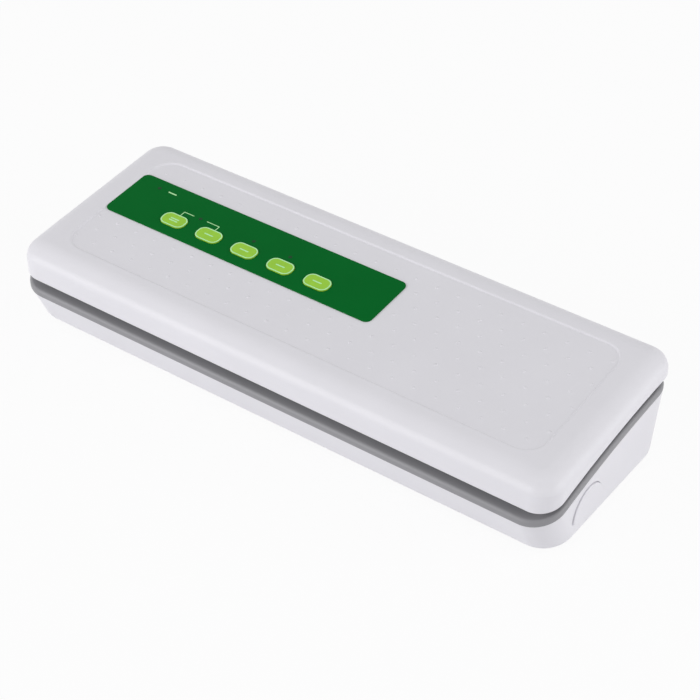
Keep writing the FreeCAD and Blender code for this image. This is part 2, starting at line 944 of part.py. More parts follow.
def face_edges(level):
    """A test for edges that lie flat at one level of the deck's plane."""
    angle = math.radians(seam_tilt.number)
    normal = Vector(0, -math.sin(angle), math.cos(angle))
    start = Vector(0, lid_front.number, number_of(cell("seam_front_height")))
    height = number_of(level)

    def test(edge):
        return all(abs((end.Point - start).dot(normal) - height) < 0.01 for end in edge.Vertexes)

    return test


def make_gaskets():
    width = cell("gasket_width") - 2 * cell("seat_gap")
    low = deck_floor - cell("groove_depth")
    top = -cell("gasket_top")
    keep("lower_gasket", gasket_ring("lower_gasket", low, top, width))
    bottom = top + cell("slide_gap")
    high = liner_bottom + cell("upper_groove_depth")
    keep("upper_gasket", gasket_ring("upper_gasket", bottom, high, width))


def make_heater():
    low = deck_floor - cell("carrier_seat")
    top = -cell("carrier_top")
    ends = (-carrier_half, carrier_half)
    span = (cell("carrier_front"), carrier_back)
    keep("heater_carrier", box("heater_carrier", DECK, ends, span, (low, top)))
    middle = cell("carrier_front") + cell("carrier_width") / 2
    strip_half = carrier_half - cell("heater_margin")
    strip_ends = (-strip_half, strip_half)
    strip_span = (middle - cell("heater_width") / 2, middle + cell("heater_width") / 2)
    strip_top = top + cell("heater_thickness")
    keep("heater_strip", box("heater_strip", DECK, strip_ends, strip_span, (top, strip_top)))
    tape_span = (middle - cell("tape_width") / 2, middle + cell("tape_width") / 2)
    tape_top = strip_top + cell("tape_thickness")
    tape = box("tape_sheet", DECK, ends, tape_span, (top, tape_top))
    keep("heater_tape", less("heater_tape", tape, nodes["heater_strip"]))
    bottom = tape_top + cell("slide_gap")
    inset = cell("strip_inset")
    silicone_span = (cell("carrier_front") + inset, carrier_back - inset)
    silicone = box("sealing_block", DECK, ends, silicone_span, (bottom, liner_bottom))
    keep("sealing_strip", rounded("sealing_strip", silicone, cell("strip_round"), face_edges(bottom)))


def trough_box(name, growth, low, high):
    half = trough_half + growth
    span = (cell("trough_front") - growth, trough_back + growth)
    return tablet(name, DECK, (-half, half), span, (low, high), cell("trough_corner") + growth)


def hook_windows():
    """Holes in the deck for the lid's hooks."""
    room = cell("hook_room")
    windows = []
    for side in (-1, 1):
        ends = (nose_tip - room, hook_outer + room)
        span = ends if side > 0 else (-ends[1], -ends[0])
        across = (cell("hook_front") - room, hook_back + room)
        windows.append(box("hook_window", DECK, span, across, (tray_bottom - room, liner_top)))
    return windows


def hinge_opening():
    """Room for the back edge of the lid as it swings down behind the hinge."""
    swing = half_width - cell("channel_margin")
    radius = cell("channel_radius")
    round_space = rod("hinge_space", LEVEL, "x", radius, -swing, hinge_y, hinge_z, 2 * swing)
    behind = box(
        "hinge_behind",
        LEVEL,
        (-swing, swing),
        (hinge_y, lid_back + radius),
        (band_back - cell("slide_gap"), hinge_z + radius),
    )
    return [round_space, behind]


def deck_form():
    """The arched lip, the tray under it, the trough's tub and the hinge channel, with nothing cut out."""
    outline_piece = rounded_block(
        "deck_outline",
        LEVEL,
        (-half_width, half_width),
        (base_front, lid_back),
        (cell("base_height"), hinge_z + cell("channel_radius")),
        cell("base_corner_front"),
        cell("base_corner_back"),
    )
    arch = less(
        "deck_arch",
        shared("deck_arch_top", outline_piece, seam_drum("deck_top_drum", cell("deck_gap"))),
        seam_drum("deck_low_drum", cell("band_drop")),
    )
    doc.recompute()
    lip = rounded("deck_lip", arch, cell("lip_radius"), rim_of(arch.Shape, 1))
    tray = tablet(
        "deck_tray",
        DECK,
        (-tray_half, tray_half),
        (cell("tray_front"), hinge_u),
        (tray_bottom, liner_top),
        cell("base_corner_front") - cell("base_wall"),
    )
    tray_drum = seam_drum("deck_tray_drum", (cell("deck_gap") + cell("band_drop")) / 2)
    tub = trough_box("deck_tub", cell("tub_wall"), trough_floor - cell("tub_wall"), deck_floor)
    channel = box(
        "deck_channel",
        DECK,
        (-tray_half, tray_half),
        (hinge_u - cell("channel_front_room"), hinge_u + cell("channel_radius")),
        (-cell("channel_floor"), deck_floor),
    )
    inside = joined("deck_inside", shared("deck_tray_top", tray, tray_drum), tub, channel)
    return joined("deck_body", lip, shared("deck_inside_fit", inside, deck_fit()))


def deck_fit():
    """The space that the deck may fill between the base's walls."""
    return base_block("deck_fit", cell("base_wall") + cell("slide_gap"))


def make_work_deck():
    pocket_half = half_width - cell("pocket_margin")
    pocket = tablet(
        "deck_pocket",
        DECK,
        (-pocket_half, pocket_half),
        (cell("pocket_front"), hinge_u - cell("pocket_back_room")),
        (deck_floor, cell("deck_floor")),
        cell("pocket_corner"),
    )
    groove = gasket_ring("deck_groove", deck_floor - cell("groove_depth"), 0, cell("gasket_width"))
    seat_half = carrier_half + cell("seat_gap")
    seat = box(
        "heater_seat",
        DECK,
        (-seat_half, seat_half),
        (cell("carrier_front") - cell("seat_gap"), carrier_back + cell("seat_gap")),
        (deck_floor - cell("carrier_seat"), 0),
    )
    trough = trough_box("deck_trough", as_size(0), trough_floor, 0)
    nozzle_hole = rod(
        "nozzle_hole",
        DECK,
        "n",
        cell("hose_diameter") / 2,
        nozzle_x,
        nozzle_u,
        trough_floor - 2 * cell("tub_wall"),
        3 * cell("tub_wall"),
    )
    cuts = [pocket, groove, seat, trough, nozzle_hole, *hinge_opening(), *hook_windows()]
    for x, y in base_screw_places():
        start = tray_height(y) - cell("screw_grip")
        length = cell("screw_grip") + cell("screw_bite")
        cuts.append(rod("deck_screw_hole", LEVEL, "n", cell("screw_diameter") / 2, x, y, start, length))
    opened = less("deck_opened", deck_form(), *cuts)
    ears = shared("deck_ears_fit", joined("deck_ears", *[deck_ear(side) for side in (-1, 1)]), deck_fit())
    bores = rod("deck_ear_bore", LEVEL, "x", bore_radius, -half_width, hinge_y, hinge_z, 2 * half_width)
    keep("work_deck", joined("work_deck", opened, less("deck_eared", ears, bores)))


def deck_ear(side):
    """An ear of the hinge that stands up from the channel's floor, on one side."""
    start = ear_inner if side > 0 else -ear_split
    radius = cell("ear_radius")
    head = rod("deck_ear_head", DECK, "x", radius, start, hinge_u, hinge_n, cell("ear_width"))
    span = (hinge_u - radius, hinge_u + cell("ear_stem_back"))
    foot = cell("tub_wall") - cell("channel_floor")
    stem = box("deck_ear_stem", DECK, (start, start + cell("ear_width")), span, (foot, hinge_n))
    return joined("deck_ear", head, stem)


def lid_ear(side):
    """An ear that reaches back from the liner to the hinge pin."""
    start = ear_split + cell("slide_gap") if side > 0 else -ear_outer
    radius = cell("ear_radius")
    head = rod("lid_ear_head", DECK, "x", radius, start, hinge_u, hinge_n, cell("ear_width"))
    span = (hinge_u - cell("ear_arm"), hinge_u)
    heights = (hinge_n - cell("ear_arm_drop"), hinge_n + radius)
    arm = box("lid_ear_arm", DECK, (start, start + cell("ear_width")), span, heights)
    return joined("lid_ear", head, arm)


def hook(name):
    """A moulded hook that hangs from the liner, its nose towards the middle."""
    body = doc.addObject("PartDesign::Body", name)
    low = -cell("hook_length")
    points = [
        (hook_inner, liner_top),
        (hook_outer, liner_top),
        (hook_outer, low),
        (hook_inner, low),
        (nose_tip, low + cell("hook_nose") / 2),
        (nose_tip, low + cell("hook_nose")),
        (hook_inner, low + cell("hook_nose")),
    ]
    pad(body, outline(body, "XZ_Plane", points), cell("hook_width"))
    place(body, DECK, 0, cell("hook_front") + cell("hook_width") / 2, 0)
    return body


def chamber_box(name, growth, low):
    """The shallow air chamber over the trough, or the dome round it."""
    half = trough_half + growth
    front = cell("chamber_front")
    return tablet(
        name,
        DECK,
        (-half, half),
        (front - growth, front + cell("chamber_width") + growth),
        (low, liner_bottom + cell("chamber_depth") + growth),
        cell("trough_corner") - cell("chamber_wall") + growth,
    )


def make_lid_liner():
    gap = cell("lid_wall") + cell("liner_gap")
    inside = half_width - gap
    plate = rounded_block(
        "liner_plate",
        DECK,
        (-inside, inside),
        (gap, liner_back),
        (liner_bottom, liner_top),
        cell("lid_corner_front") - gap,
        cell("lid_corner_back") - gap,
    )
    right_hook = hook("hook_right")
    hooks = [right_hook, mirrored("hook_left", right_hook)]
    ears = [lid_ear(side) for side in (-1, 1)]
    dome = chamber_box("chamber_dome", cell("chamber_wall"), liner_bottom)
    body = joined("liner_body", plate, dome, *hooks, *ears)
    groove_top = liner_bottom + cell("upper_groove_depth")
    groove = gasket_ring("liner_groove", as_size(0), groove_top, cell("gasket_width"))
    bores = rod(
        "lid_ear_bore", LEVEL, "x", cell("pin_diameter") / 2, -half_width, hinge_y, hinge_z, 2 * half_width
    )
    cuts = [chamber_box("chamber_space", as_size(0), as_size(0)), groove, bores]
    shank = cell("screw_diameter") / 2
    sink = cell("screw_head") / 2
    for x, u in lid_screw_places():
        cuts.append(rod("liner_hole", DECK, "n", shank, x, u, liner_bottom, 2 * cell("liner_thickness")))
        cuts.append(rod("liner_sink", DECK, "n", sink, x, u, 0, liner_bottom + cell("screw_head_height")))
    keep("lid_liner", less("lid_liner", body, *cuts))
    screws = []
    length = cell("liner_thickness") + cell("lid_screw_depth")
    for x, u in lid_screw_places():
        head = rod("lid_screw_head", DECK, "n", sink, x, u, liner_bottom, cell("screw_head_height"))
        body = rod("lid_screw_shank", DECK, "n", shank, x, u, liner_bottom, length)
        screws.append(joined("lid_screw", head, body))
    keep("lid_screws", group("lid_screws", *screws))


def make_hinge_pins():
    length = ear_outer - ear_inner
    pin = rod("hinge_pin", LEVEL, "x", cell("pin_diameter") / 2, ear_inner, hinge_y, hinge_z, length)
    both_sides("hinge_pin", pin)


def button_shape(name, x_low, x_high, growth):
    """The half-round button: a disc cut flat at the bottom."""
    radius = cell("button_radius") + growth
    centre_z = cell("button_centre_height")
    disc = rod(f"{name}_disc", LEVEL, "x", radius, x_low, button_y, centre_z, x_high - x_low)
    keeper = box(
        f"{name}_keeper",
        LEVEL,
        (x_low, x_high),
        (button_y - radius, button_y + radius),
        (cell("button_flat_height") - growth, centre_z + radius),
    )
    return shared(name, disc, keeper)


def make_latches():
    cap = button_shape("button_cap", flange_inner, half_width + cell("button_proud"), as_size(0))
    flange = button_shape("button_rim", flange_inner, wall_inside - cell("slide_gap"), cell("button_rim"))
    both_sides("release_button", joined("release_button", cap, flange))
    low = slider_top - cell("slider_thickness")
    cut = (low - cell("slider_thickness"), slider_top + cell("slider_thickness"))
    front = cell("slider_front")
    bridge_front = hook_back + cell("hook_room")
    bridge_back = bridge_front + cell("slider_arm")
    button_u = DECK.run * cell("button_setback")
    plate = box("slider_plate", DECK, (slider_inner, flange_inner), (front, button_u), (low, slider_top))
    window = box("slider_window", DECK, (slider_edge, half_width), (0, bridge_front), cut)
    arm_inner = flange_inner - cell("slider_arm")
    notch = box("slider_notch", DECK, (0, arm_inner), (bridge_back, 2 * button_u), cut)
    both_sides("latch_slider", less("latch_slider", plate, window, notch))


def make_return_springs():
    """A hairpin leaf between each button and a rib of the base."""
    body = doc.addObject("PartDesign::Body", "return_leaf")
    strip = cell("spring_strip")
    front = button_y + cell("spring_setback")
    tip = front + 2 * strip
    back = front + cell("spring_length")
    points = [
        (rib_outer, front),
        (rib_outer + strip, front),
        (rib_outer + strip, back - strip),
        (flange_inner - strip, tip),
        (flange_inner, tip),
        (flange_inner, tip + strip),
        (rib_outer + strip, back),
        (rib_outer, back),
    ]
    pad(body, outline(body, "XY_Plane", points), cell("spring_width"))
    place(body, LEVEL, 0, 0, cell("button_centre_height"))
    both_sides("return_spring", body)


def foot_places():
    front = base_front + cell("foot_inset_y")
    back = lid_back - cell("foot_inset_y")
    return [(side * foot_x, y) for side in (-1, 1) for y in (front, back)]


def base_screw_places():
    rows = [DECK.y(u, tray_bottom) for u in (front_post_u, back_post_u)]
    return [(x, y) for x in (left_post_x, middle_post_x, right_post_x) for y in rows]


def tray_height(y):
    """How high the underside of the deck's tray lies."""
    plane = cell("seam_front_height") + (y - lid_front) * tangent(seam_tilt)
    return plane - cell("tray_depth") / cosine(seam_tilt)


def main_post_places():
    inset = cell("main_post_inset")
    columns = (main_board_left + inset, main_board_right - inset)
    front = cell("main_board_front")
    rows = (front + inset, front + cell("main_board_depth") - inset)
    return [(x, y) for x in columns for y in rows]


def base_supports():
    """Screw posts, spring ribs and board posts that rise from the base's floor."""
    bottom = cell("base_height")
    radius = cell("base_post_diameter") / 2
    posts = [rod("base_post", LEVEL, "n", radius, x, y, bottom, hinge_z) for x, y in base_screw_places()]
    under_tray = box(
        "under_tray",
        DECK,
        (-half_width, half_width),
        (0, hinge_u),
        (-hinge_z, tray_bottom),
    )
    supports = [shared("base_posts", joined("post_rods", *posts), under_tray)]
    thickness = cell("rib_thickness")
    span = (button_y, button_y + cell("spring_setback") + cell("spring_length") + thickness)
    rib_top = cell("button_centre_height") + cell("spring_width")
    for side in (-1, 1):
        start = rib_outer - thickness if side > 0 else -rib_outer
        supports.append(box("spring_rib", LEVEL, (start, start + thickness), span, (bottom, rib_top)))
    for x, y in main_post_places():
        radius = cell("main_post_diameter") / 2
        supports.append(rod("main_post", LEVEL, "n", radius, x, y, bottom, board_seat - bottom))
    return joined("base_supports", *supports)


def make_base_housing():
    outer = base_block("base_outer", as_size(0))
    inner = base_block("base_inner", cell("base_wall"))
    arch = shared("base_arch", outer, seam_drum("base_drum", cell("band_drop")))
    supports = shared("base_supports_trim", base_supports(), outer)
    body = joined("base_body", less("base_tub", arch, inner), supports)
    cuts = []
    low = wall_inside - cell("base_wall")
    high = half_width + cell("base_wall")
    for span in ((low, high), (-high, -low)):
        cuts.append(button_shape("button_hole", *span, cell("slide_gap")))
    for x, y in foot_places():
        radius = cell("foot_diameter") / 2 + cell("seat_gap")
        cuts.append(rod("foot_seat", LEVEL, "n", radius, x, y, 0, foot_top))
    for x, y in base_screw_places():
        shank = cell("screw_diameter") / 2 + cell("seat_gap")
        head = cell("screw_head") / 2 + cell("slide_gap")
        cuts.append(rod("base_screw_hole", LEVEL, "n", shank, x, y, 0, hinge_z))
        cuts.append(rod("base_screw_well", LEVEL, "n", head, x, y, 0, tray_height(y) - cell("screw_grip")))
    radius = gland_radius + cell("seat_gap")
    start = gland_front() - cell("gland_rim_thickness")
    cuts.append(rod("gland_hole", LEVEL, "u", radius, gland_x, start, cell("gland_height"), lid_back - start))
    keep("base_housing", less("base_housing", body, *cuts))


def make_feet_and_screws():
    feet = []
    for x, y in foot_places():
        feet.append(rod("foot", LEVEL, "n", cell("foot_diameter") / 2, x, y, 0, foot_top))
    keep("rubber_feet", group("rubber_feet", *feet))
    screws = []
    for x, y in base_screw_places():
        seat = tray_height(y) - cell("screw_grip")
        height = cell("screw_head_height")
        head = rod("base_screw_head", LEVEL, "n", cell("screw_head") / 2, x, y, seat - height, height)
        length = cell("screw_grip") + cell("screw_bite")
        shank = rod("base_screw_shank", LEVEL, "n", cell("screw_diameter") / 2, x, y, seat, length)
        screws.append(joined("base_screw", head, shank))
    keep("base_screws", group("base_screws", *screws))


def axle(name, radius, left, length, off_axis=0):
    """A rod along the pump's axis, or beside it by the crank's throw."""
    return rod(name, LEVEL, "x", radius, left, cell("pump_y") + off_axis, pump_z, length)


def make_crankcase():
    wall = cell("crankcase_wall")
    top = pump_z + case_half
    case = box("case_block", LEVEL, (crank_left, crank_right), (case_front, case_back), (floor_top, top))
    room = box(
        "case_room",
        LEVEL,
        (crank_left + wall, crank_right - wall),
        (case_front + wall, case_back - wall),
        (floor_top + wall, top + wall),
    )
    radius = cell("diaphragm_diameter") / 2 - cell("diaphragm_rim")
    mouth = rod("case_mouth", LEVEL, "u", radius, pump_x, case_front, pump_z, 2 * wall)
    bearing = axle("case_bearing", cell("shaft_diameter") / 2 + cell("pin_clearance"), crank_left, 2 * wall)
    keep("pump_crankcase", less("pump_crankcase", case, room, mouth, bearing))


def make_motor():
    """The motor's can, its rotor with the crank, and the connecting rod on the crank's pin."""
    shaft = cell("shaft_diameter") / 2
    left = crank_left - cell("motor_length")
    can = axle("motor_can", cell("motor_diameter") / 2, left, cell("motor_length"))
    boss_length = cell("motor_boss_length")
    boss = axle("motor_boss", cell("motor_boss_diameter") / 2, left - boss_length, 2 * boss_length)
    bore_left = left + cell("motor_end")
    bore = axle("motor_bore", shaft + cell("pin_clearance"), bore_left, cell("motor_length"))
    keep("pump_motor", less("pump_motor", joined("motor_body", can, boss), bore))
    throw = cell("crank_throw")
    thickness = cell("crank_disc_thickness")
    disc_left = crank_left + cell("crankcase_wall") + 2 * cell("slide_gap")
    disc_right = disc_left + thickness
    shaft_left = bore_left + cell("slide_gap")
    spindle = axle("rotor_shaft", shaft, shaft_left, disc_right - shaft_left)
    disc = axle("rotor_disc", cell("crank_disc_diameter") / 2, disc_left, thickness)
    pin_radius = cell("crank_pin_diameter") / 2
    pin = axle("rotor_pin", pin_radius, disc_left, thickness + cell("crank_pin_length"), throw)
    keep("motor_rotor", joined("motor_rotor", spindle, disc, pin))
    eye_left = disc_right + cell("slide_gap")
    eye_width = cell("rod_eye_width")
    eye = axle("rod_eye", pin_radius + cell("rod_eye_wall"), eye_left, eye_width, throw)
    half = cell("rod_thickness") / 2
    middle = eye_left + eye_width / 2
    tip = case_front + cell("crankcase_wall") + 2 * throw
    span = (tip, cell("pump_y") + throw)
    shank = box("rod_shank", LEVEL, (middle - half, middle + half), span, (pump_z - half, pump_z + half))
    hole = axle("rod_hole", pin_radius + cell("pin_clearance"), disc_left, 2 * eye_width + thickness, throw)
    keep("connecting_rod", less("connecting_rod", joined("rod_body", eye, shank), hole))


def make_pump_head():
    thickness = cell("diaphragm_thickness")
    radius = cell("diaphragm_diameter") / 2
    keep("pump_diaphragm", rod("membrane", LEVEL, "u", radius, pump_x, membrane_front, pump_z, thickness))
    span = (membrane_front - cell("head_thickness"), membrane_front)
    heights = (floor_top, pump_z + case_half - cell("head_drop"))
    keep("pump_head", box("head_block", LEVEL, (crank_left, crank_right), span, heights))


def make_hose():
    """The nozzle in the trough's floor and the hose from it to the pump's head."""
    radius = cell("hose_diameter") / 2
    bore = cell("hose_bore") / 2
    low = trough_floor - cell("tub_wall") - cell("nozzle_stem")
    stem_radius = radius - cell("pin_clearance")
    stem = rod("nozzle_pipe", DECK, "n", stem_radius, nozzle_x, nozzle_u, low, trough_floor - low)
    flange_radius = radius + cell("nozzle_flange")
    thickness = cell("nozzle_flange_thickness")
    flange = rod("nozzle_rim", DECK, "n", flange_radius, nozzle_x, nozzle_u, trough_floor, thickness)
    channel = rod("nozzle_way", DECK, "n", bore, nozzle_x, nozzle_u, low, thickness - low)
    keep("intake_nozzle", less("intake_nozzle", joined("nozzle_body", stem, flange), channel))
    port_y = membrane_front - cell("head_thickness") / 2
    port_z = floor_top + cell("hose_diameter")
    start = Vector(nozzle_x.number, DECK.y(nozzle_u, low).number, DECK.z(nozzle_u, low).number)
    end = Vector(crank_left.number, port_y.number, port_z.number)
    angle = math.radians(seam_tilt.number)
    down = Vector(0, math.sin(angle), -math.cos(angle))
    corner = start + down * ((start.z - end.z) / math.cos(angle))
    lead = end - Vector(number_of(cell("hose_lead")), 0, 0)
    route = [start, corner, lead, end]
    tube = swept_tube("vacuum_hose", route, radius.number, bore.number, number_of(cell("hose_bend")))
    keep("vacuum_hose", tube)


def swept_tube(name, route, outer, inner, bend):
    """A tube along straight runs joined by tangent arcs."""
    edges = []
    here = route[0]
    for before, turn, after in zip(route, route[1:], route[2:]):
        incoming = (turn - before).normalize()
        outgoing = (after - turn).normalize()
        half_turn = incoming.getAngle(outgoing) / 2
        setback = bend * math.tan(half_turn)
        arc_start = turn - incoming * setback
        arc_end = turn + outgoing * setback
        centre_way = (outgoing - incoming).normalize()
        middle = turn + centre_way * (bend / math.cos(half_turn) - bend)
        edges.append(Part.LineSegment(here, arc_start).toShape())
        edges.append(Part.Arc(arc_start, middle, arc_end).toShape())
        here = arc_end
    edges.append(Part.LineSegment(here, route[-1]).toShape())
    path = Part.Wire(edges)
    direction = (route[1] - route[0]).normalize()
    solids = []
    for radius in (outer, inner):
        circle = Part.Wire(Part.makeCircle(radius, route[0], direction))
        solids.append(path.makePipeShell([circle], True, False))
    feature = doc.addObject("Part::Feature", name)
    feature.Shape = solids[0].cut(solids[1])
    return feature


def make_main_board():
    front = cell("main_board_front")
    top = board_seat + cell("board_thickness")
    span = (front, front + cell("main_board_depth"))
    keep("main_board", box("main_board", LEVEL, (main_board_left, main_board_right), span, (board_seat, top)))
    relay_left = main_board_left + cell("inner_room")
    relay_front = front + cell("relay_setback")
    relay = box(
        "relay",
        LEVEL,
        (relay_left, relay_left + cell("relay_length")),
        (relay_front, relay_front + cell("relay_depth")),
        (top, top + cell("relay_height")),
    )
    keep("relay", relay)
    radius = cell("capacitor_diameter") / 2
    x = relay_left + cell("relay_length") + cell("capacitor_room")
    y = front + cell("capacitor_setback")
    keep("capacitor", rod("capacitor", LEVEL, "n", radius, x, y, top, cell("capacitor_height")))


def make_transformer():
    front = cell("transformer_front")
    back = front + cell("transformer_depth")
    top = floor_top + cell("transformer_height")
    ends = (transformer_left, transformer_right)
    core = box("transformer_core", LEVEL, ends, (front, back), (floor_top, top))
    inset = cell("coil_inset")
    reach = cell("coil_reach")
    drop = cell("coil_drop")
    coil = box(
        "transformer_coil",
        LEVEL,
        (transformer_left + inset, transformer_right - inset),
        (front - reach, back + reach),
        (floor_top + drop, top - drop),
    )
    keep("transformer", joined("transformer", core, coil))


def make_pressure_switch():
    radius = cell("pressure_can_diameter") / 2
    x = main_board_right + cell("inner_room") + radius
    y = cell("pressure_switch_y")
    height = cell("pressure_can_height")
    can = rod("pressure_can", LEVEL, "n", radius, x, y, floor_top, height)
    length = height + cell("pressure_spout_length")
    spout = rod("pressure_spout", LEVEL, "n", cell("pressure_spout_diameter") / 2, x, y, floor_top, length)
    keep("pressure_switch", joined("pressure_switch", can, spout))


def gland_front():
    """Where the gland's inner rim meets the inside of the leaning back wall."""
    lowest = cell("gland_height") - gland_radius - cell("gland_rim")
    return back_wall(lowest, cell("base_wall"))


def make_cord_gland():
    height = cell("gland_height")
    face = gland_front()
    end = back_wall(height, as_size(0)) + cell("gland_proud")
    barrel = rod("gland_barrel", LEVEL, "u", gland_radius, gland_x, face, height, end - face)
    thickness = cell("gland_rim_thickness")
    rim_radius = gland_radius + cell("gland_rim")
    rim = rod("gland_rim", LEVEL, "u", rim_radius, gland_x, face - thickness, height, thickness)
    depth = cell("gland_bore_depth")
    bore = rod("gland_bore", LEVEL, "u", cell("gland_bore") / 2, gland_x, end - depth, height, depth)
    keep("cord_gland", less("cord_gland", joined("gland_body", barrel, rim), bore))


make_lid_shell()
make_control_panel()
make_keys()
make_control_board()
make_gaskets()
make_heater()
make_work_deck()
make_lid_liner()
make_hinge_pins()
make_latches()
make_return_springs()
make_base_housing()
make_feet_and_screws()
make_crankcase()
make_motor()
make_pump_head()
make_hose()
make_main_board()
make_transformer()
make_pressure_switch()
make_cord_gland()
doc.recompute()

failed = [item.Name for item in doc.Objects if {"Invalid", "Error"} & set(item.State)]
if failed:
    raise RuntimeError(f"objects that did not build: {failed}")
for label, piece in nodes.items():
    if piece.Shape.isNull() or not piece.Shape.isValid():
        raise RuntimeError(f"{label} has no valid shape")
os.makedirs("parts", exist_ok=True)
for label, piece in nodes.items():
    piece.Shape.exportStep(f"parts/{label}.step")
    print(f"{label}: {len(piece.Shape.Solids)} solids, {piece.Shape.Volume:.0f} mm3")
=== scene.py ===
import json
import math

import bmesh
import bpy
from bpy.props import FloatProperty, FloatVectorProperty, IntProperty, PointerProperty
from bpy.types import Operator, Panel, PropertyGroup
from mathutils import Matrix, Vector


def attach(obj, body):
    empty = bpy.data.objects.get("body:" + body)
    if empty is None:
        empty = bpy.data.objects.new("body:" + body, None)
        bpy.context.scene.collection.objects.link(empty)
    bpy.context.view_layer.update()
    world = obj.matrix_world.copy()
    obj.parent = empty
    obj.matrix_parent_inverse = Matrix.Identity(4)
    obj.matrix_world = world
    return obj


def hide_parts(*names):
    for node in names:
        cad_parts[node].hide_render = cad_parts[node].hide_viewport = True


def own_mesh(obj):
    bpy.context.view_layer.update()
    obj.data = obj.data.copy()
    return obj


bl_info = {
    "name": "Vacuum Sealer",
    "version": (1, 0, 0),
    "blender": (4, 5, 0),
    "location": "View3D > Sidebar > Sealer",
    "description": "Dresses the solids of a bench-top vacuum sealer and sets up its studio",
    "category": "Object",
}

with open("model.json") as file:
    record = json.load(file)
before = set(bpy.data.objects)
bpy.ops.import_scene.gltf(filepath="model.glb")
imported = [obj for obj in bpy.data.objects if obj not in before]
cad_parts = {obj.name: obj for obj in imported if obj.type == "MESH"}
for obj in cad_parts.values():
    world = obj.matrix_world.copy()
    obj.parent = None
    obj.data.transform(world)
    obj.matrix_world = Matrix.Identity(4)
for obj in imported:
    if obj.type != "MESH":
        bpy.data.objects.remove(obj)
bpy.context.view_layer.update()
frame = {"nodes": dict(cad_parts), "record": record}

MM = 0.001
ACROSS = Vector((1, 0, 0))
KEY_NUMBERS = range(1, 6)
SIDES = ("left", "right")

# How the solids' meshes are read, joined and smoothed
MERGE_DISTANCE = 1e-6
LEVEL_SLACK = 0.02 * MM
UPRIGHT_SHARE = 0.3
UPWARD_SHARE = 0.9
FLAT_ANGLE = math.radians(0.2)
SHARP_ANGLE = math.radians(32)
FLAT_WEIGHT = 80
BEVEL_STEPS = 2
ARC_STEPS = 6

# Camera, floor and lamps
FRAME_PIXELS = 700
SENSOR_WIDTH = 36.0
FLOOR_REACH = 6.0
FLOOR_VEIL = 0.92
FRONT_LAMP = (-0.95, -1.65, 0.71)
SIDE_LAMP = (1.77, 0.64, 0.70)
TOP_LAMP = (0.3, 0.2, 1.8)


# Places read from the frame

def top_normal(node):
    """Direction of the largest face of a node that looks up."""
    faces = [face for face in frame["nodes"][node].data.polygons if face.normal.z > UPWARD_SHARE]
    return max(faces, key=lambda face: face.area).normal.copy()


class Plane:
    """A plane tilted about X: x along the machine, u up the slope to the back, n along its normal."""

    def __init__(self, node):
        self.normal = top_normal(node)
        self.slope = self.normal.cross(ACROSS)

    def place(self, x, u, n):
        return ACROSS * x + self.slope * u + self.normal * n

    def matrix(self, x=0.0, u=0.0, n=0.0):
        rows = Matrix((ACROSS, self.slope, self.normal)).transposed().to_4x4()
        return Matrix.Translation(self.place(x, u, n)) @ rows

    def span(self, points):
        """Lowest and highest x, u and n of some points."""
        columns = [[point.dot(way) for point in points] for way in (ACROSS, self.slope, self.normal)]
        return [(min(column), max(column)) for column in columns]

    def span_of(self, node):
        return self.span([vertex.co for vertex in frame["nodes"][node].data.vertices])

    def middle_of(self, points):
        return [sum(pair) / 2 for pair in self.span(points)]


TOP = Plane("control_panel")
DECK = Plane("heater_carrier")


def merged(node):
    """A clean mesh of a node, its triangles joined into one skin."""
    source = frame["nodes"][node].data
    shape = bmesh.new()
    points = [shape.verts.new(vertex.co) for vertex in source.vertices]
    for polygon in source.polygons:
        shape.faces.new([points[index] for index in polygon.vertices])
    bmesh.ops.remove_doubles(shape, verts=shape.verts, dist=MERGE_DISTANCE)
    return shape


def loose_parts(node):
    """The points of each separate solid of a node."""
    shape = merged(node)
    waiting = set(shape.verts)
    parts = []
    while waiting:
        front = [waiting.pop()]
        part = []
        while front:
            vertex = front.pop()
            part.append(vertex.co.copy())
            for edge in vertex.link_edges:
                other = edge.other_vert(vertex)
                if other in waiting:
                    waiting.remove(other)
                    front.append(other)
        parts.append(part)
    shape.free()
    return sorted(parts, key=lambda part: (sum(part, Vector()) / len(part)).to_tuple(4))


# Sizes and colours that a user may change

def length(name, description, millimetres):
    return FloatProperty(name=name, description=description, default=millimetres * MM, unit="LENGTH")


def colour(name, description, red, green, blue):
    return FloatVectorProperty(
        name=name, description=description, default=(red, green, blue), subtype="COLOR", size=3, min=0, max=1
    )


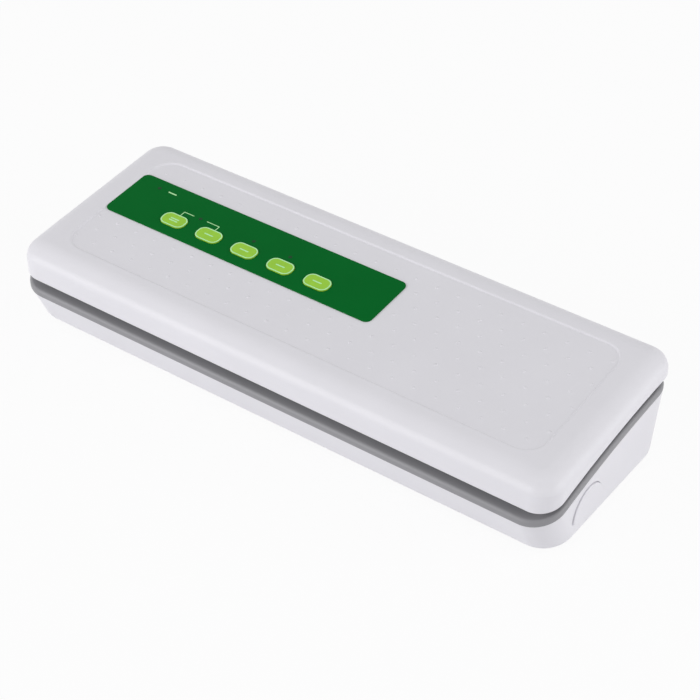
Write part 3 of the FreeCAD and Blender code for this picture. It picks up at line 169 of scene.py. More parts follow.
class SealerSizes(PropertyGroup):
    """Sizes of the details that the solids leave out."""

    edge_round: length("Edge Round", "Radius that softens moulded edges", 0.35)
    key_round: length("Key Round", "Radius round the top of each key", 0.2)
    recess_slope: length("Recess Slope", "How far the wall round the lid's recess leans", 0.9)
    dot_radius: length("Dot Radius", "Radius of the raised dots on the lid", 1.1)
    dot_height: length("Dot Height", "How far the dots stand up", 0.24)
    dot_pitch: length("Dot Pitch", "Distance between dots in a row", 14.36)
    row_pitch: length("Row Pitch", "Distance between rows of dots", 10.85)
    dot_phase: length("Dot Phase", "Where the first row's dots start from the panel's left end", 2.9)
    first_row: length("First Row", "Distance of the first row from the panel's front edge", 29.0)
    dot_rows: IntProperty(name="Dot Rows", description="How many rows of dots there are", default=8, min=1)
    recess_side: length("Recess Side", "Distance of the lid's recess from its ends", 20.8)
    dot_clearance: length("Dot Clearance", "Room between the dots and the panel or the recess's edge", 2.2)
    print_height: length("Print Height", "Thickness of printed lines", 0.06)
    rim_width: length("Rim Width", "Width of the pale line round the top of each key", 0.75)
    key_length: length("Key Length", "Length of a key's cap", 17.2)
    key_depth: length("Key Depth", "Depth of a key's cap", 10.8)
    key_corner: length("Key Corner", "Corner radius of a key's cap", 4.6)
    bracket_width: length("Bracket Width", "Width of the lines that join two keys", 0.5)
    bracket_gap: length("Bracket Gap", "Distance of those lines from the light between the keys", 5.0)
    mark_length: length("Mark Length", "Length of the plain bar on a key", 6.4)
    mark_width: length("Mark Width", "Width of the plain bar on a key", 0.9)
    mark_offset: length("Mark Offset", "Distance of the panel's bar from the first light", 10.24)
    window_radius: length("Window Radius", "Radius of the dark windows over the lights", 1.2)
    gasket_width: length("Gasket Width", "Width of the foam gaskets", 5.8)
    gasket_corner: length("Gasket Corner", "Corner radius along the middle of a gasket", 16.0)
    gasket_round: length("Gasket Round", "Rounding of a gasket's section", 1.5)
    head_height: length("Head Height", "Height of a screw's head", 1.4)
    slot_width: length("Slot Width", "Width of the cross in a screw's head", 0.8)
    slot_depth: length("Slot Depth", "Depth of the cross in a screw's head", 0.7)


class SealerColours(PropertyGroup):
    """Colours of the finishes, as they are mixed before any light falls on them."""

    white_plastic: colour("White Plastic", "Lid, base and release buttons", 0.80, 0.79, 0.835)
    grey_plastic: colour("Grey Plastic", "Work deck", 0.28, 0.277, 0.294)
    liner_plastic: colour("Liner Plastic", "Liner of the lid and the latch sliders", 0.24, 0.24, 0.255)
    panel_green: colour("Panel Green", "Film of the control panel", 0.0, 0.135, 0.019)
    key_green: colour("Key Green", "Keys", 0.34, 0.66, 0.05)
    pale_print: colour("Pale Print", "Printed lines on panel and keys", 0.53, 0.94, 0.48)
    dark_window: colour("Dark Window", "Windows over the lights", 0.008, 0.06, 0.018)
    gasket_foam: colour("Gasket Foam", "Foam gaskets", 0.045, 0.045, 0.048)
    silicone: colour("Silicone", "Sealing strip and pump diaphragm", 0.58, 0.58, 0.56)
    foot_rubber: colour("Foot Rubber", "Feet", 0.06, 0.06, 0.062)
    heater_tape: colour("Heater Tape", "Coated cloth over the heater", 0.42, 0.28, 0.15)
    heater_wire: colour("Heater Wire", "Flat heater strip", 0.60, 0.57, 0.53)
    heater_board: colour("Heater Board", "Carrier under the heater", 0.18, 0.11, 0.06)
    steel: colour("Steel", "Screws, pins, springs and the rotor", 0.60, 0.60, 0.61)
    circuit_board: colour("Circuit Board", "Control board and main board", 0.02, 0.18, 0.06)
    black_plastic: colour("Black Plastic", "Inner fittings", 0.03, 0.03, 0.032)
    motor_can: colour("Motor Can", "Plated can of the motor", 0.46, 0.47, 0.48)
    transformer_iron: colour("Transformer Iron", "Stacked sheets of the transformer", 0.12, 0.10, 0.09)
    led_lens: colour("Light Lens", "Lenses of the indicator lights", 0.28, 0.02, 0.02)
    hose_silicone: colour("Hose", "Vacuum hose", 0.72, 0.72, 0.69)
    floor: colour("Floor", "Studio floor", 0.86, 0.86, 0.87)


class StageSettings(PropertyGroup):
    """The studio: camera and lamps."""

    camera_turn: FloatProperty(
        name="Camera Turn", description="How far the camera stands round to the right",
        default=math.radians(35.97), subtype="ANGLE",
    )
    camera_rise: FloatProperty(
        name="Camera Rise", description="How far above the horizon the camera stands",
        default=math.radians(38.31), subtype="ANGLE",
    )
    camera_distance: FloatProperty(
        name="Camera Distance", description="From the camera to its target", default=1.1529, unit="LENGTH"
    )
    camera_target: FloatVectorProperty(
        name="Camera Target", description="Point that the camera looks at",
        default=(0.00402, 0.0115, 0.01616), subtype="TRANSLATION",
    )
    focal_pixels: FloatProperty(
        name="Focal Pixels", description="Focal length in pixels of the square frame", default=1966.2
    )
    sky_strength: FloatProperty(name="Sky Strength", description="Even light from all round", default=0.5)
    front_power: FloatProperty(name="Front Power", description="Watts of the front lamp", default=19.7)
    side_power: FloatProperty(name="Side Power", description="Watts of the lamp on the right", default=15.5)
    top_power: FloatProperty(name="Top Power", description="Watts of the overhead lamp", default=1.5)
    lamp_size: FloatProperty(name="Lamp Size", description="Width of each lamp", default=1.6, unit="LENGTH")


def sizes():
    return bpy.context.scene.sealer_sizes


def colours():
    return bpy.context.scene.sealer_colours


def stage():
    return bpy.context.scene.sealer_stage


# Finishes

class Finish:
    """Node tree of one material: a pattern that varies colour, roughness and relief."""

    # Where along a pattern the darker tone ends and the lighter one starts
    RAMP_ENDS = (0.3, 0.7)
    # Width of one band of Blender's wave at a scale of 1
    WAVE_TURN = math.pi / 10

    def __init__(self, name):
        self.material = bpy.data.materials.new(f"{name}_finish")
        self.material.use_nodes = True
        self.nodes = self.material.node_tree.nodes
        self.links = self.material.node_tree.links
        self.shader = self.nodes["Principled BSDF"]
        self.coordinates = self.nodes.new("ShaderNodeTexCoord").outputs["Object"]

    def stretched(self, x, y, z):
        mapping = self.nodes.new("ShaderNodeMapping")
        mapping.inputs["Scale"].default_value = (x, y, z)
        self.links.new(self.coordinates, mapping.inputs["Vector"])
        return mapping.outputs["Vector"]

    def noise(self, grain, detail=3.0, stretch=(1, 1, 1)):
        """Soft random grain of a given size."""
        texture = self.nodes.new("ShaderNodeTexNoise")
        texture.inputs["Scale"].default_value = 1 / grain
        texture.inputs["Detail"].default_value = detail
        self.links.new(self.stretched(*stretch), texture.inputs["Vector"])
        return texture.outputs["Fac"]

    def cells(self, grain):
        """Round pores of a given size."""
        texture = self.nodes.new("ShaderNodeTexVoronoi")
        texture.inputs["Scale"].default_value = 1 / grain
        self.links.new(self.coordinates, texture.inputs["Vector"])
        return texture.outputs["Distance"]

    def bands(self, width, direction):
        """Parallel bands across one direction."""
        texture = self.nodes.new("ShaderNodeTexWave")
        texture.bands_direction = direction
        texture.inputs["Scale"].default_value = self.WAVE_TURN / width
        self.links.new(self.coordinates, texture.inputs["Vector"])
        return texture.outputs["Fac"]

    def either(self, first, second):
        """The higher of two patterns."""
        higher = self.nodes.new("ShaderNodeMath")
        higher.operation = "MAXIMUM"
        self.links.new(first, higher.inputs[0])
        self.links.new(second, higher.inputs[1])
        return higher.outputs["Value"]

    def ranged(self, pattern, low, high):
        scale = self.nodes.new("ShaderNodeMapRange")
        scale.inputs["To Min"].default_value = low
        scale.inputs["To Max"].default_value = high
        self.links.new(pattern, scale.inputs["Value"])
        return scale.outputs["Result"]

    def shade(self, pattern, base, spread):
        """Colour between a darker and a lighter tone of the base."""
        ramp = self.nodes.new("ShaderNodeValToRGB")
        for stop, share, position in zip(ramp.color_ramp.elements, (1 - spread, 1 + spread), self.RAMP_ENDS):
            stop.color = (*[min(1.0, part * share) for part in base], 1)
            stop.position = position
        self.links.new(pattern, ramp.inputs["Fac"])
        self.links.new(ramp.outputs["Color"], self.shader.inputs["Base Color"])

    def roughen(self, pattern, low, high):
        self.links.new(self.ranged(pattern, low, high), self.shader.inputs["Roughness"])

    def emboss(self, pattern, depth, strength):
        bump = self.nodes.new("ShaderNodeBump")
        bump.inputs["Strength"].default_value = strength
        bump.inputs["Distance"].default_value = depth
        self.links.new(pattern, bump.inputs["Height"])
        self.links.new(bump.outputs["Normal"], self.shader.inputs["Normal"])

    def set(self, **values):
        """Constant values of the shader's own sockets."""
        for socket, value in values.items():
            self.shader.inputs[socket.replace("_", " ")].default_value = value


# Patterns of moulded plastic and of drawn metal
FLOW_GRAIN = 40 * MM
FLOW_SPREAD = 0.012
MOULD_SPREAD = 0.05
MOULD_DEPTH = 0.03 * MM
STREAK_GRAIN = 0.25 * MM
STREAK_SPREAD = 0.08
STREAK_DEPTH = 0.01 * MM
STREAK_RELIEF = 0.2


def moulded(name, base, grain, roughness, relief):
    """Injection-moulded plastic: an eroded texture, its grain in millimetres, with faint flow tones."""
    look = Finish(name)
    fine = look.noise(grain * MM, detail=2.0)
    look.shade(look.noise(FLOW_GRAIN, detail=2.0), base, FLOW_SPREAD)
    look.roughen(fine, roughness - MOULD_SPREAD, roughness + MOULD_SPREAD)
    look.emboss(fine, MOULD_DEPTH, relief)
    return look


def white_plastic(base):
    return moulded("white_plastic", base, grain=0.45, roughness=0.40, relief=0.22)


def grey_plastic(base):
    return moulded("grey_plastic", base, grain=0.5, roughness=0.42, relief=0.3)


def liner_plastic(base):
    return moulded("liner_plastic", base, grain=0.6, roughness=0.5, relief=0.4)


def black_plastic(base):
    return moulded("black_plastic", base, grain=0.5, roughness=0.48, relief=0.4)


def heater_board(base):
    look = moulded("heater_board", base, grain=0.8, roughness=0.6, relief=0.4)
    look.shade(look.noise(grain=3 * MM, stretch=(0.2, 1, 1)), base, spread=0.15)
    return look


def panel_green(base):
    look = moulded("panel_green", base, grain=0.35, roughness=0.42, relief=0.12)
    look.shade(look.noise(grain=30 * MM), base, spread=0.03)
    look.set(Specular_IOR_Level=0.03)
    return look


def key_green(base):
    look = moulded("key_green", base, grain=0.4, roughness=0.36, relief=0.2)
    look.shade(look.noise(grain=6 * MM), base, spread=0.05)
    look.set(Specular_IOR_Level=0.2)
    return look


def pale_print(base):
    look = moulded("pale_print", base, grain=0.3, roughness=0.45, relief=0.15)
    look.shade(look.noise(grain=0.8 * MM), base, spread=0.04)
    look.set(Specular_IOR_Level=0.1)
    return look


def dark_window(base):
    look = moulded("dark_window", base, grain=0.3, roughness=0.3, relief=0.05)
    look.shade(look.noise(grain=0.7 * MM), base, spread=0.2)
    look.set(Specular_IOR_Level=0.1)
    return look


def gasket_foam(base):
    look = Finish("gasket_foam")
    pores = look.cells(grain=0.7 * MM)
    look.shade(pores, base, spread=0.35)
    look.roughen(pores, low=0.78, high=0.95)
    look.emboss(pores, depth=0.25 * MM, strength=0.8)
    return look


def silicone(base):
    look = moulded("silicone", base, grain=0.5, roughness=0.5, relief=0.25)
    look.set(Subsurface_Weight=0.15, Subsurface_Scale=0.002)
    return look


def foot_rubber(base):
    look = moulded("foot_rubber", base, grain=0.4, roughness=0.75, relief=0.5)
    look.shade(look.noise(grain=2 * MM), base, spread=0.12)
    return look


def heater_tape(base):
    look = Finish("heater_tape")
    weave = look.either(*[look.bands(width=0.5 * MM, direction=way) for way in "XY"])
    look.shade(weave, base, spread=0.12)
    look.roughen(weave, low=0.38, high=0.55)
    look.emboss(weave, depth=0.06 * MM, strength=0.5)
    return look


def drawn_metal(name, base, roughness, stretch):
    """Bare or plated metal with fine streaks along the way it was drawn."""
    look = Finish(name)
    streaks = look.noise(STREAK_GRAIN, detail=4.0, stretch=stretch)
    look.shade(streaks, base, STREAK_SPREAD)
    look.roughen(streaks, roughness - STREAK_SPREAD, roughness + STREAK_SPREAD)
    look.emboss(streaks, STREAK_DEPTH, STREAK_RELIEF)
    look.set(Metallic=1.0)
    return look


def heater_wire(base):
    return drawn_metal("heater_wire", base, roughness=0.4, stretch=(0.02, 1, 1))


def steel(base):
    return drawn_metal("steel", base, roughness=0.34, stretch=(0.1, 1, 1))


def motor_can(base):
    return drawn_metal("motor_can", base, roughness=0.42, stretch=(0.3, 1, 1))


def circuit_board(base):
    look = Finish("circuit_board")
    tracks = look.either(look.bands(width=1.6 * MM, direction="X"), look.noise(grain=4 * MM))
    look.shade(tracks, base, spread=0.25)
    look.roughen(tracks, low=0.3, high=0.45)
    look.emboss(tracks, depth=0.04 * MM, strength=0.4)
    return look


def transformer_iron(base):
    look = Finish("transformer_iron")
    sheets = look.bands(width=0.5 * MM, direction="Z")
    look.shade(sheets, base, spread=0.2)
    look.roughen(sheets, low=0.4, high=0.6)
    look.emboss(sheets, depth=0.1 * MM, strength=0.6)
    return look


def led_lens(base):
    look = moulded("led_lens", base, grain=0.3, roughness=0.15, relief=0.05)
    look.shade(look.noise(grain=1.5 * MM), base, spread=0.1)
    look.set(Transmission_Weight=0.3)
    return look


def hose_silicone(base):
    look = moulded("hose_silicone", base, grain=0.6, roughness=0.4, relief=0.2)
    look.set(Subsurface_Weight=0.2, Subsurface_Scale=0.002)
    return look


FINISHES = (
    white_plastic, grey_plastic, liner_plastic, panel_green, key_green, pale_print, dark_window, gasket_foam,
    silicone, foot_rubber, heater_tape, heater_wire, heater_board, steel, circuit_board, black_plastic,
    motor_can, transformer_iron, led_lens, hose_silicone,
)


def finish(name):
    """The material of a finish, made when it is first asked for."""
    label = f"{name}_finish"
    if label not in bpy.data.materials:
        maker = next(item for item in FINISHES if item.__name__ == name)
        maker(tuple(getattr(colours(), name)))
    return bpy.data.materials[label]


def slot_of(node):
    return next(part["material_slot"] for part in frame["record"]["subparts"] if part["node"] == node)


def body_of(node):
    bodies = frame["record"]["behaviour"]["bodies"]
    return next(body for body, members in bodies.items() if node in members)


# Pieces

def piece(name, mesh, body, look, slot, *nodes):
    """A finished object that rides on a body and stands for some of its nodes."""
    if not len(mesh.polygons):
        raise RuntimeError(f"{name} came out empty")
    mesh.name = name
    mesh.materials.clear()
    mesh.materials.append(finish(look))
    made = bpy.data.objects.new(name, mesh)
    bpy.context.scene.collection.objects.link(made)
    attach(made, body)
    if nodes:
        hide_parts(*nodes)
    return made


def slope_recess(shape):
    """Lean the wall round the lid's recess, so that the step runs softly into the recess's floor."""
    level = TOP.span_of("control_panel")[2][0]
    shape.normal_update()
    moves = {}
    for vertex in shape.verts:
        if abs(vertex.co.dot(TOP.normal) - level) > LEVEL_SLACK:
            continue
        walls = [face for face in vertex.link_faces if rises_from(face, level)]
        if walls:
            inward = sum((face.normal for face in walls), Vector())
            inward -= TOP.normal * inward.dot(TOP.normal)
            moves[vertex] = inward.normalized() * sizes().recess_slope
    if not moves:
        raise RuntimeError("the lid has no recess")
    for vertex, move in moves.items():
        vertex.co += move


def rises_from(face, level):
    """Whether a face is a low wall that stands on a level of the lid's top."""
    heights = [vertex.co.dot(TOP.normal) - level for vertex in face.verts]
    upright = abs(face.normal.dot(TOP.normal)) < UPRIGHT_SHARE
    return upright and min(heights) > -LEVEL_SLACK and max(heights) > LEVEL_SLACK


def skin(node, name, edge_round=0.0, reshape=None):
    """A smooth-shaded copy of a node in its place, with softened edges where a radius is given."""
    shape = merged(node)
    if reshape:
        reshape(shape)
    bmesh.ops.dissolve_limit(shape, angle_limit=FLAT_ANGLE, verts=shape.verts, edges=shape.edges)
    for face in shape.faces:
        face.smooth = True
    for edge in shape.edges:
        edge.smooth = len(edge.link_faces) == 2 and edge.calc_face_angle() < SHARP_ANGLE
    mesh = bpy.data.meshes.new(name)
    shape.to_mesh(mesh)
    shape.free()
    made = piece(name, mesh, body_of(node), slot_of(node), slot_of(node), node)
    if edge_round:
        bevel = made.modifiers.new("Soft Edges", "BEVEL")
        bevel.width = edge_round
        bevel.segments = BEVEL_STEPS
        bevel.limit_method = "ANGLE"
        bevel.angle_limit = SHARP_ANGLE
        bevel.use_clamp_overlap = False
    weighted = made.modifiers.new("Flat Faces", "WEIGHTED_NORMAL")
    weighted.keep_sharp = True
    weighted.weight = FLAT_WEIGHT
    return made


def painted(*nodes):
    """Give nodes that keep their own mesh the finish of their slot."""
    for node in nodes:
        for mesh_slot in frame["nodes"][node].material_slots:
            mesh_slot.link = "OBJECT"
            mesh_slot.material = finish(slot_of(node))


def rounded_outline(half_length, half_depth, corner):
    """Corner points of a rectangle with round corners about the origin."""
    points = []
    for turn, (side, end) in enumerate(((1, 1), (-1, 1), (-1, -1), (1, -1))):
        middle = Vector((side * (half_length - corner), end * (half_depth - corner), 0))
        for step in range(ARC_STEPS + 1):
            angle = math.pi / 2 * (turn + step / ARC_STEPS)
            point = middle + Vector((math.cos(angle), math.sin(angle), 0)) * corner
            if all((point - other).length > MERGE_DISTANCE for other in points):
                points.append(point)
    return points


def stroke_outline(points, width):
    """Outline of a line of even width along some points, with mitred turns."""
    sides = []
    for index, point in enumerate(points):
        ways = []
        if index:
            ways.append((point - points[index - 1]).normalized())
        if index + 1 < len(points):
            ways.append((points[index + 1] - point).normalized())
        normals = [Vector((-way.y, way.x, 0)) for way in ways]
        mitre = sum(normals, Vector()).normalized()
        sides.append(mitre * (width / 2 / mitre.dot(normals[0])))
    left = [point + side for point, side in zip(points, sides)]
    right = [point - side for point, side in zip(points, sides)]
    return right + left[::-1]


def add_plate(shape, outline, low, high):
    """A plate between two heights over a closed outline."""
    under = [shape.verts.new((point.x, point.y, low)) for point in outline]
    over = [shape.verts.new((point.x, point.y, high)) for point in outline]
    shape.faces.new(over)
    shape.faces.new(under[::-1])
    for index in range(len(outline)):
        following = (index + 1) % len(outline)
        shape.faces.new((under[index], under[following], over[following], over[index]))


def plates(name, outlines, low, high, matrix):
    """One mesh of plates laid on a plane of the machine."""
    shape = bmesh.new()
    for outline in outlines:
        add_plate(shape, outline, low, high)
    bmesh.ops.recalc_face_normals(shape, faces=shape.faces)
    mesh = bpy.data.meshes.new(name)
    shape.to_mesh(mesh)
    shape.free()
    mesh.transform(matrix)
    return mesh


# Node trees for what repeats or follows a path

class Tree:
    """A geometry node tree with named inputs that ends in realised, painted geometry."""

    def __init__(self, name, **inputs):
        self.tree = bpy.data.node_groups.new(name, "GeometryNodeTree")
        self.tree.is_modifier = True
        self.tree.interface.new_socket("Geometry", in_out="INPUT", socket_type="NodeSocketGeometry")
        for label, kind in inputs.items():
            self.tree.interface.new_socket(label.replace("_", " "), in_out="INPUT", socket_type=kind)
        self.tree.interface.new_socket("Geometry", in_out="OUTPUT", socket_type="NodeSocketGeometry")
        self.source = self.tree.nodes.new("NodeGroupInput").outputs

    def add(self, kind, links=None, **settings):
        """A node whose sockets take links, and whose settings or sockets take values."""
        node = self.tree.nodes.new(f"GeometryNode{kind}" if not kind.startswith("Shader") else kind)
        for name, value in settings.items():
            setattr(node, name, value)
        for socket, value in (links or {}).items():
            if isinstance(value, bpy.types.NodeSocket):
                self.tree.links.new(value, node.inputs[socket])
            else:
                node.inputs[socket].default_value = value
        return node

    def math(self, operation, first, second):
        return self.add("ShaderNodeMath", {0: first, 1: second}, operation=operation).outputs["Value"]

    def vector(self, x=0.0, y=0.0, z=0.0):
        return self.add("ShaderNodeCombineXYZ", {"X": x, "Y": y, "Z": z}).outputs["Vector"]

    def close(self, geometry):
        """Realise, smooth and paint the geometry, and hand it out."""
        realised = self.add("RealizeInstances", {"Geometry": geometry})
        smooth = self.add("SetShadeSmooth", {"Geometry": realised.outputs["Geometry"]})
        painted_geometry = self.add(
            "SetMaterial", {"Geometry": smooth.outputs["Geometry"], "Material": self.source["Finish"]}
        )
        end = self.tree.nodes.new("NodeGroupOutput")
        self.tree.links.new(painted_geometry.outputs["Geometry"], end.inputs["Geometry"])
        return self.tree


def grown(tree, points, **values):
    """The plain mesh that a tree grows from some points."""
    seeds = bpy.data.meshes.new(tree.name)
    seeds.from_pydata(points, [], [])
    holder = bpy.data.objects.new(tree.name, seeds)
    bpy.context.scene.collection.objects.link(holder)
    modifier = holder.modifiers.new(tree.name, "NODES")
    modifier.node_group = tree
    for item in tree.interface.items_tree:
        key = item.name.replace(" ", "_")
        if item.in_out == "INPUT" and key in values:
            modifier[item.identifier] = values[key]
    graph = bpy.context.evaluated_depsgraph_get()
    mesh = bpy.data.meshes.new_from_object(holder.evaluated_get(graph), depsgraph=graph)
    bpy.data.objects.remove(holder)
    return mesh


FLOAT = "NodeSocketFloat"
MATERIAL = "NodeSocketMaterial"

# How finely the trees divide their shapes
CORNER_STEPS = 10
SECTION_STEPS = 3
DOT_SEGMENTS = 10
DOT_RINGS = 6
SCREW_SIDES = 32

# Length of a screw's slot, as a share of its head's radius
SLOT_REACH = 1.3
# Radius of a ball's section halfway to its pole, as a share of the ball's own radius
HALFWAY_RADIUS = math.sqrt(0.75)


def band_tree():
    """A band of rounded section round a rectangle with round corners, at every point."""
    tree = Tree(
        "rounded_band", Length=FLOAT, Depth=FLOAT, Corner=FLOAT, Width=FLOAT, Height=FLOAT, Round=FLOAT,
        Finish=MATERIAL,
    )
    path = ("Length", "Depth", "Corner", CORNER_STEPS)
    section = ("Width", "Height", "Round", SECTION_STEPS)
    loops = []
    for width, height, corner, count in (path, section):
        loop = tree.add(
            "CurvePrimitiveQuadrilateral", {"Width": tree.source[width], "Height": tree.source[height]}
        )
        soft = tree.add(
            "FilletCurve",
            {"Curve": loop.outputs["Curve"], "Radius": tree.source[corner], "Count": count},
            mode="POLY",
        )
        loops.append(soft.outputs["Curve"])
    band = tree.add("CurveToMesh", {"Curve": loops[0], "Profile Curve": loops[1]})
    copies = tree.add(
        "InstanceOnPoints", {"Points": tree.source["Geometry"], "Instance": band.outputs["Mesh"]}
    )
    return tree.close(copies.outputs["Instances"])


def dot_tree():
    """A low dome on every point: the upper quarter of a flattened ball that is sunk by the rise."""
    tree = Tree("raised_dots", Radius=FLOAT, Rise=FLOAT, Finish=MATERIAL)
    rise = tree.source["Rise"]
    ball_radius = tree.math("DIVIDE", tree.source["Radius"], HALFWAY_RADIUS)
    ball = tree.add("MeshUVSphere", {"Segments": DOT_SEGMENTS, "Rings": DOT_RINGS, "Radius": ball_radius})
    share = tree.math("DIVIDE", tree.math("MULTIPLY", rise, 2.0), ball_radius)
    sunk = tree.add(
        "Transform",
        {
            "Geometry": ball.outputs["Mesh"],
            "Translation": tree.vector(0.0, 0.0, tree.math("MULTIPLY", rise, -1.0)),
            "Scale": tree.vector(1.0, 1.0, share),
        },
    )
    copies = tree.add(
        "InstanceOnPoints", {"Points": tree.source["Geometry"], "Instance": sunk.outputs["Geometry"]}
    )
    return tree.close(copies.outputs["Instances"])


def screw_tree():
    """A screw with a cross in its head on every point, head down."""
    tree = Tree(
        "cross_screws", Head_Radius=FLOAT, Head_Height=FLOAT, Shank_Radius=FLOAT, Shank_Length=FLOAT,
        Slot_Width=FLOAT, Slot_Depth=FLOAT, Finish=MATERIAL,
    )
    radius, height = tree.source["Head Radius"], tree.source["Head Height"]

    def barrel(side_radius, tall, middle):
        solid = tree.add("MeshCylinder", {"Vertices": SCREW_SIDES, "Radius": side_radius, "Depth": tall})
        moved = tree.add(
            "Transform", {"Geometry": solid.outputs["Mesh"], "Translation": tree.vector(0.0, 0.0, middle)}
        )
        return moved.outputs["Geometry"]

    head = barrel(radius, height, tree.math("MULTIPLY", height, 0.5))
    tall = tree.source["Shank Length"]
    shank = barrel(tree.source["Shank Radius"], tall, tree.math("MULTIPLY", tall, 0.5))
    bars = []
    reach = tree.math("MULTIPLY", radius, SLOT_REACH)
    deep = tree.math("MULTIPLY", tree.source["Slot Depth"], 2.0)
    for along, over in ((reach, tree.source["Slot Width"]), (tree.source["Slot Width"], reach)):
        bars.append(tree.add("MeshCube", {"Size": tree.vector(along, over, deep)}).outputs["Mesh"])
    cross = tree.add("MeshBoolean", {}, operation="UNION", solver="EXACT")
    for bar in bars:
        tree.tree.links.new(bar, cross.inputs["Mesh 2"])
    body = tree.add("MeshBoolean", {}, operation="UNION", solver="EXACT")
    for solid in (head, shank):
        tree.tree.links.new(solid, body.inputs["Mesh 2"])
    cut = tree.add("MeshBoolean", {"Mesh 1": body.outputs["Mesh"]}, operation="DIFFERENCE", solver="EXACT")
    tree.tree.links.new(cross.outputs["Mesh"], cut.inputs["Mesh 2"])
    copies = tree.add(
        "InstanceOnPoints", {"Points": tree.source["Geometry"], "Instance": cut.outputs["Mesh"]}
    )
    return tree.close(copies.outputs["Instances"])


# Operators

class SEALER_OT_shells(Operator):
    """Dress the lid's shell, the base and the release buttons"""

    bl_idname = "sealer.shells"
    bl_label = "Lid and Base Shells"

    def execute(self, context):
        soft = sizes().edge_round
        skin("lid_shell", "lid_skin", soft, slope_recess)
        skin("base_housing", "base_skin", soft)
        for side in SIDES:
            skin(f"release_button_{side}", f"release_cap_{side}", soft)
        return {"FINISHED"}


class SEALER_OT_lid_dots(Operator):
    """Raise a staggered field of small dots in the lid's recess, clear of the panel"""

    bl_idname = "sealer.lid_dots"
    bl_label = "Lid Dots"

    def execute(self, context):
        size = sizes()
        panel = TOP.span_of("control_panel")
        reach = TOP.span_of("lid_shell")[0][1] - size.recess_side - size.dot_clearance
        level = panel[2][0]
        clear = size.dot_clearance
        places = []
        for row in range(size.dot_rows):
            u = panel[1][0] - size.first_row + row * size.row_pitch
            start = panel[0][0] + size.dot_phase + (row % 2) * size.dot_pitch / 2
            first = math.ceil((-reach - start) / size.dot_pitch)
            last = math.floor((reach - start) / size.dot_pitch)
            for column in range(first, last + 1):
                x = start + column * size.dot_pitch
                beside = panel[0][0] - clear < x < panel[0][1] + clear
                if not (beside and panel[1][0] - clear < u < panel[1][1] + clear):
                    places.append((x, u, level))
        mesh = grown(
            dot_tree(), places, Radius=size.dot_radius, Rise=size.dot_height, Finish=finish("white_plastic")
        )
        mesh.transform(TOP.matrix())
        piece("lid_dots", mesh, "lid", "white_plastic", "white_plastic")
        return {"FINISHED"}


class SEALER_OT_panel(Operator):
    """Dress the control panel: film, lines between two keys and windows over the lights"""

    bl_idname = "sealer.panel"
    bl_label = "Control Panel"

    def execute(self, context):
        size = sizes()
        skin("control_panel", "panel_film")
        top = TOP.span_of("control_panel")[2][1]
        thick = size.print_height
        lights = [TOP.middle_of(part) for part in loose_parts("indicator_leds")]
        keys = [[sum(pair) / 2 for pair in TOP.span_of(f"key_{number}")] for number in (1, 2)]
        light = lights[1]
        lines = []
        for key, way in zip(keys, (-1, 1)):
            tick = key[1] + size.key_depth / 2 + size.bracket_width
            points = [
                Vector((key[0], tick, 0)),
                Vector((key[0], light[1], 0)),
                Vector((light[0] + way * size.bracket_gap, light[1], 0)),
            ]
            lines.append(stroke_outline(points, size.bracket_width))
        x, u, _ = lights[0]
        bar = rounded_outline(size.mark_length / 2, size.mark_width / 2, size.mark_width / 2)
        lines.append([point + Vector((x + size.mark_offset, u, 0)) for point in bar])
        marks = plates("panel_marks", lines, 0, thick, TOP.matrix(n=top))
        piece("panel_marks", marks, "lid", "pale_print", "panel_green")
        disc = rounded_outline(size.window_radius, size.window_radius, size.window_radius)
        discs = [[point + Vector((x, u, 0)) for point in disc] for x, u, _ in lights]
        windows = plates("light_windows", discs, 0, thick, TOP.matrix(n=top))
        piece("light_windows", windows, "lid", "dark_window", "led_lens")
        return {"FINISHED"}


class SEALER_OT_keys(Operator):
    """Dress the keys: soft caps, a pale line round the top of each and a plain bar on it"""

    bl_idname = "sealer.keys"
    bl_label = "Keys"

    def execute(self, context):
        size = sizes()
        tree = band_tree()
        for number in KEY_NUMBERS:
            node = f"key_{number}"
            skin(node, f"key_cap_{number}", size.key_round)
            (left, right), (front, back), (_, top) = TOP.span_of(node)
            middle = [(left + right) / 2, (front + back) / 2]
            bar = rounded_outline(size.mark_length / 2, size.mark_width / 2, size.mark_width / 2)
            rows = (-1, 1) if number == 1 else (0,)
            bars = [[point + Vector((0, row * size.mark_width, 0)) for point in bar] for row in rows]
            marks = plates(f"key_mark_{number}", bars, 0, size.print_height, TOP.matrix(*middle, top))
            piece(f"key_mark_{number}", marks, node, "pale_print", "key_green")
            inset = size.key_round / 2 + size.rim_width / 2
            rim = grown(
                tree, [(*middle, top)], Length=size.key_length - 2 * inset, Depth=size.key_depth - 2 * inset,
                Corner=size.key_corner - inset, Width=size.rim_width, Height=2 * size.print_height,
                Round=size.print_height / 2, Finish=finish("pale_print"),
            )
            rim.transform(TOP.matrix())
            piece(f"key_rim_{number}", rim, node, "pale_print", "key_green")
        return {"FINISHED"}


class SEALER_OT_deck(Operator):
    """Dress the work deck, the heater and the lid's liner"""

    bl_idname = "sealer.deck"
    bl_label = "Work Deck and Liner"

    def execute(self, context):
        soft = sizes().edge_round
        skin("work_deck", "deck_skin", soft)
        skin("lid_liner", "liner_skin", soft)
        skin("sealing_strip", "sealing_skin")
        skin("cord_gland", "gland_skin", soft)
        skin("rubber_feet", "foot_skin", soft)
        painted("heater_carrier", "heater_strip", "heater_tape", "latch_slider_left", "latch_slider_right")
        return {"FINISHED"}


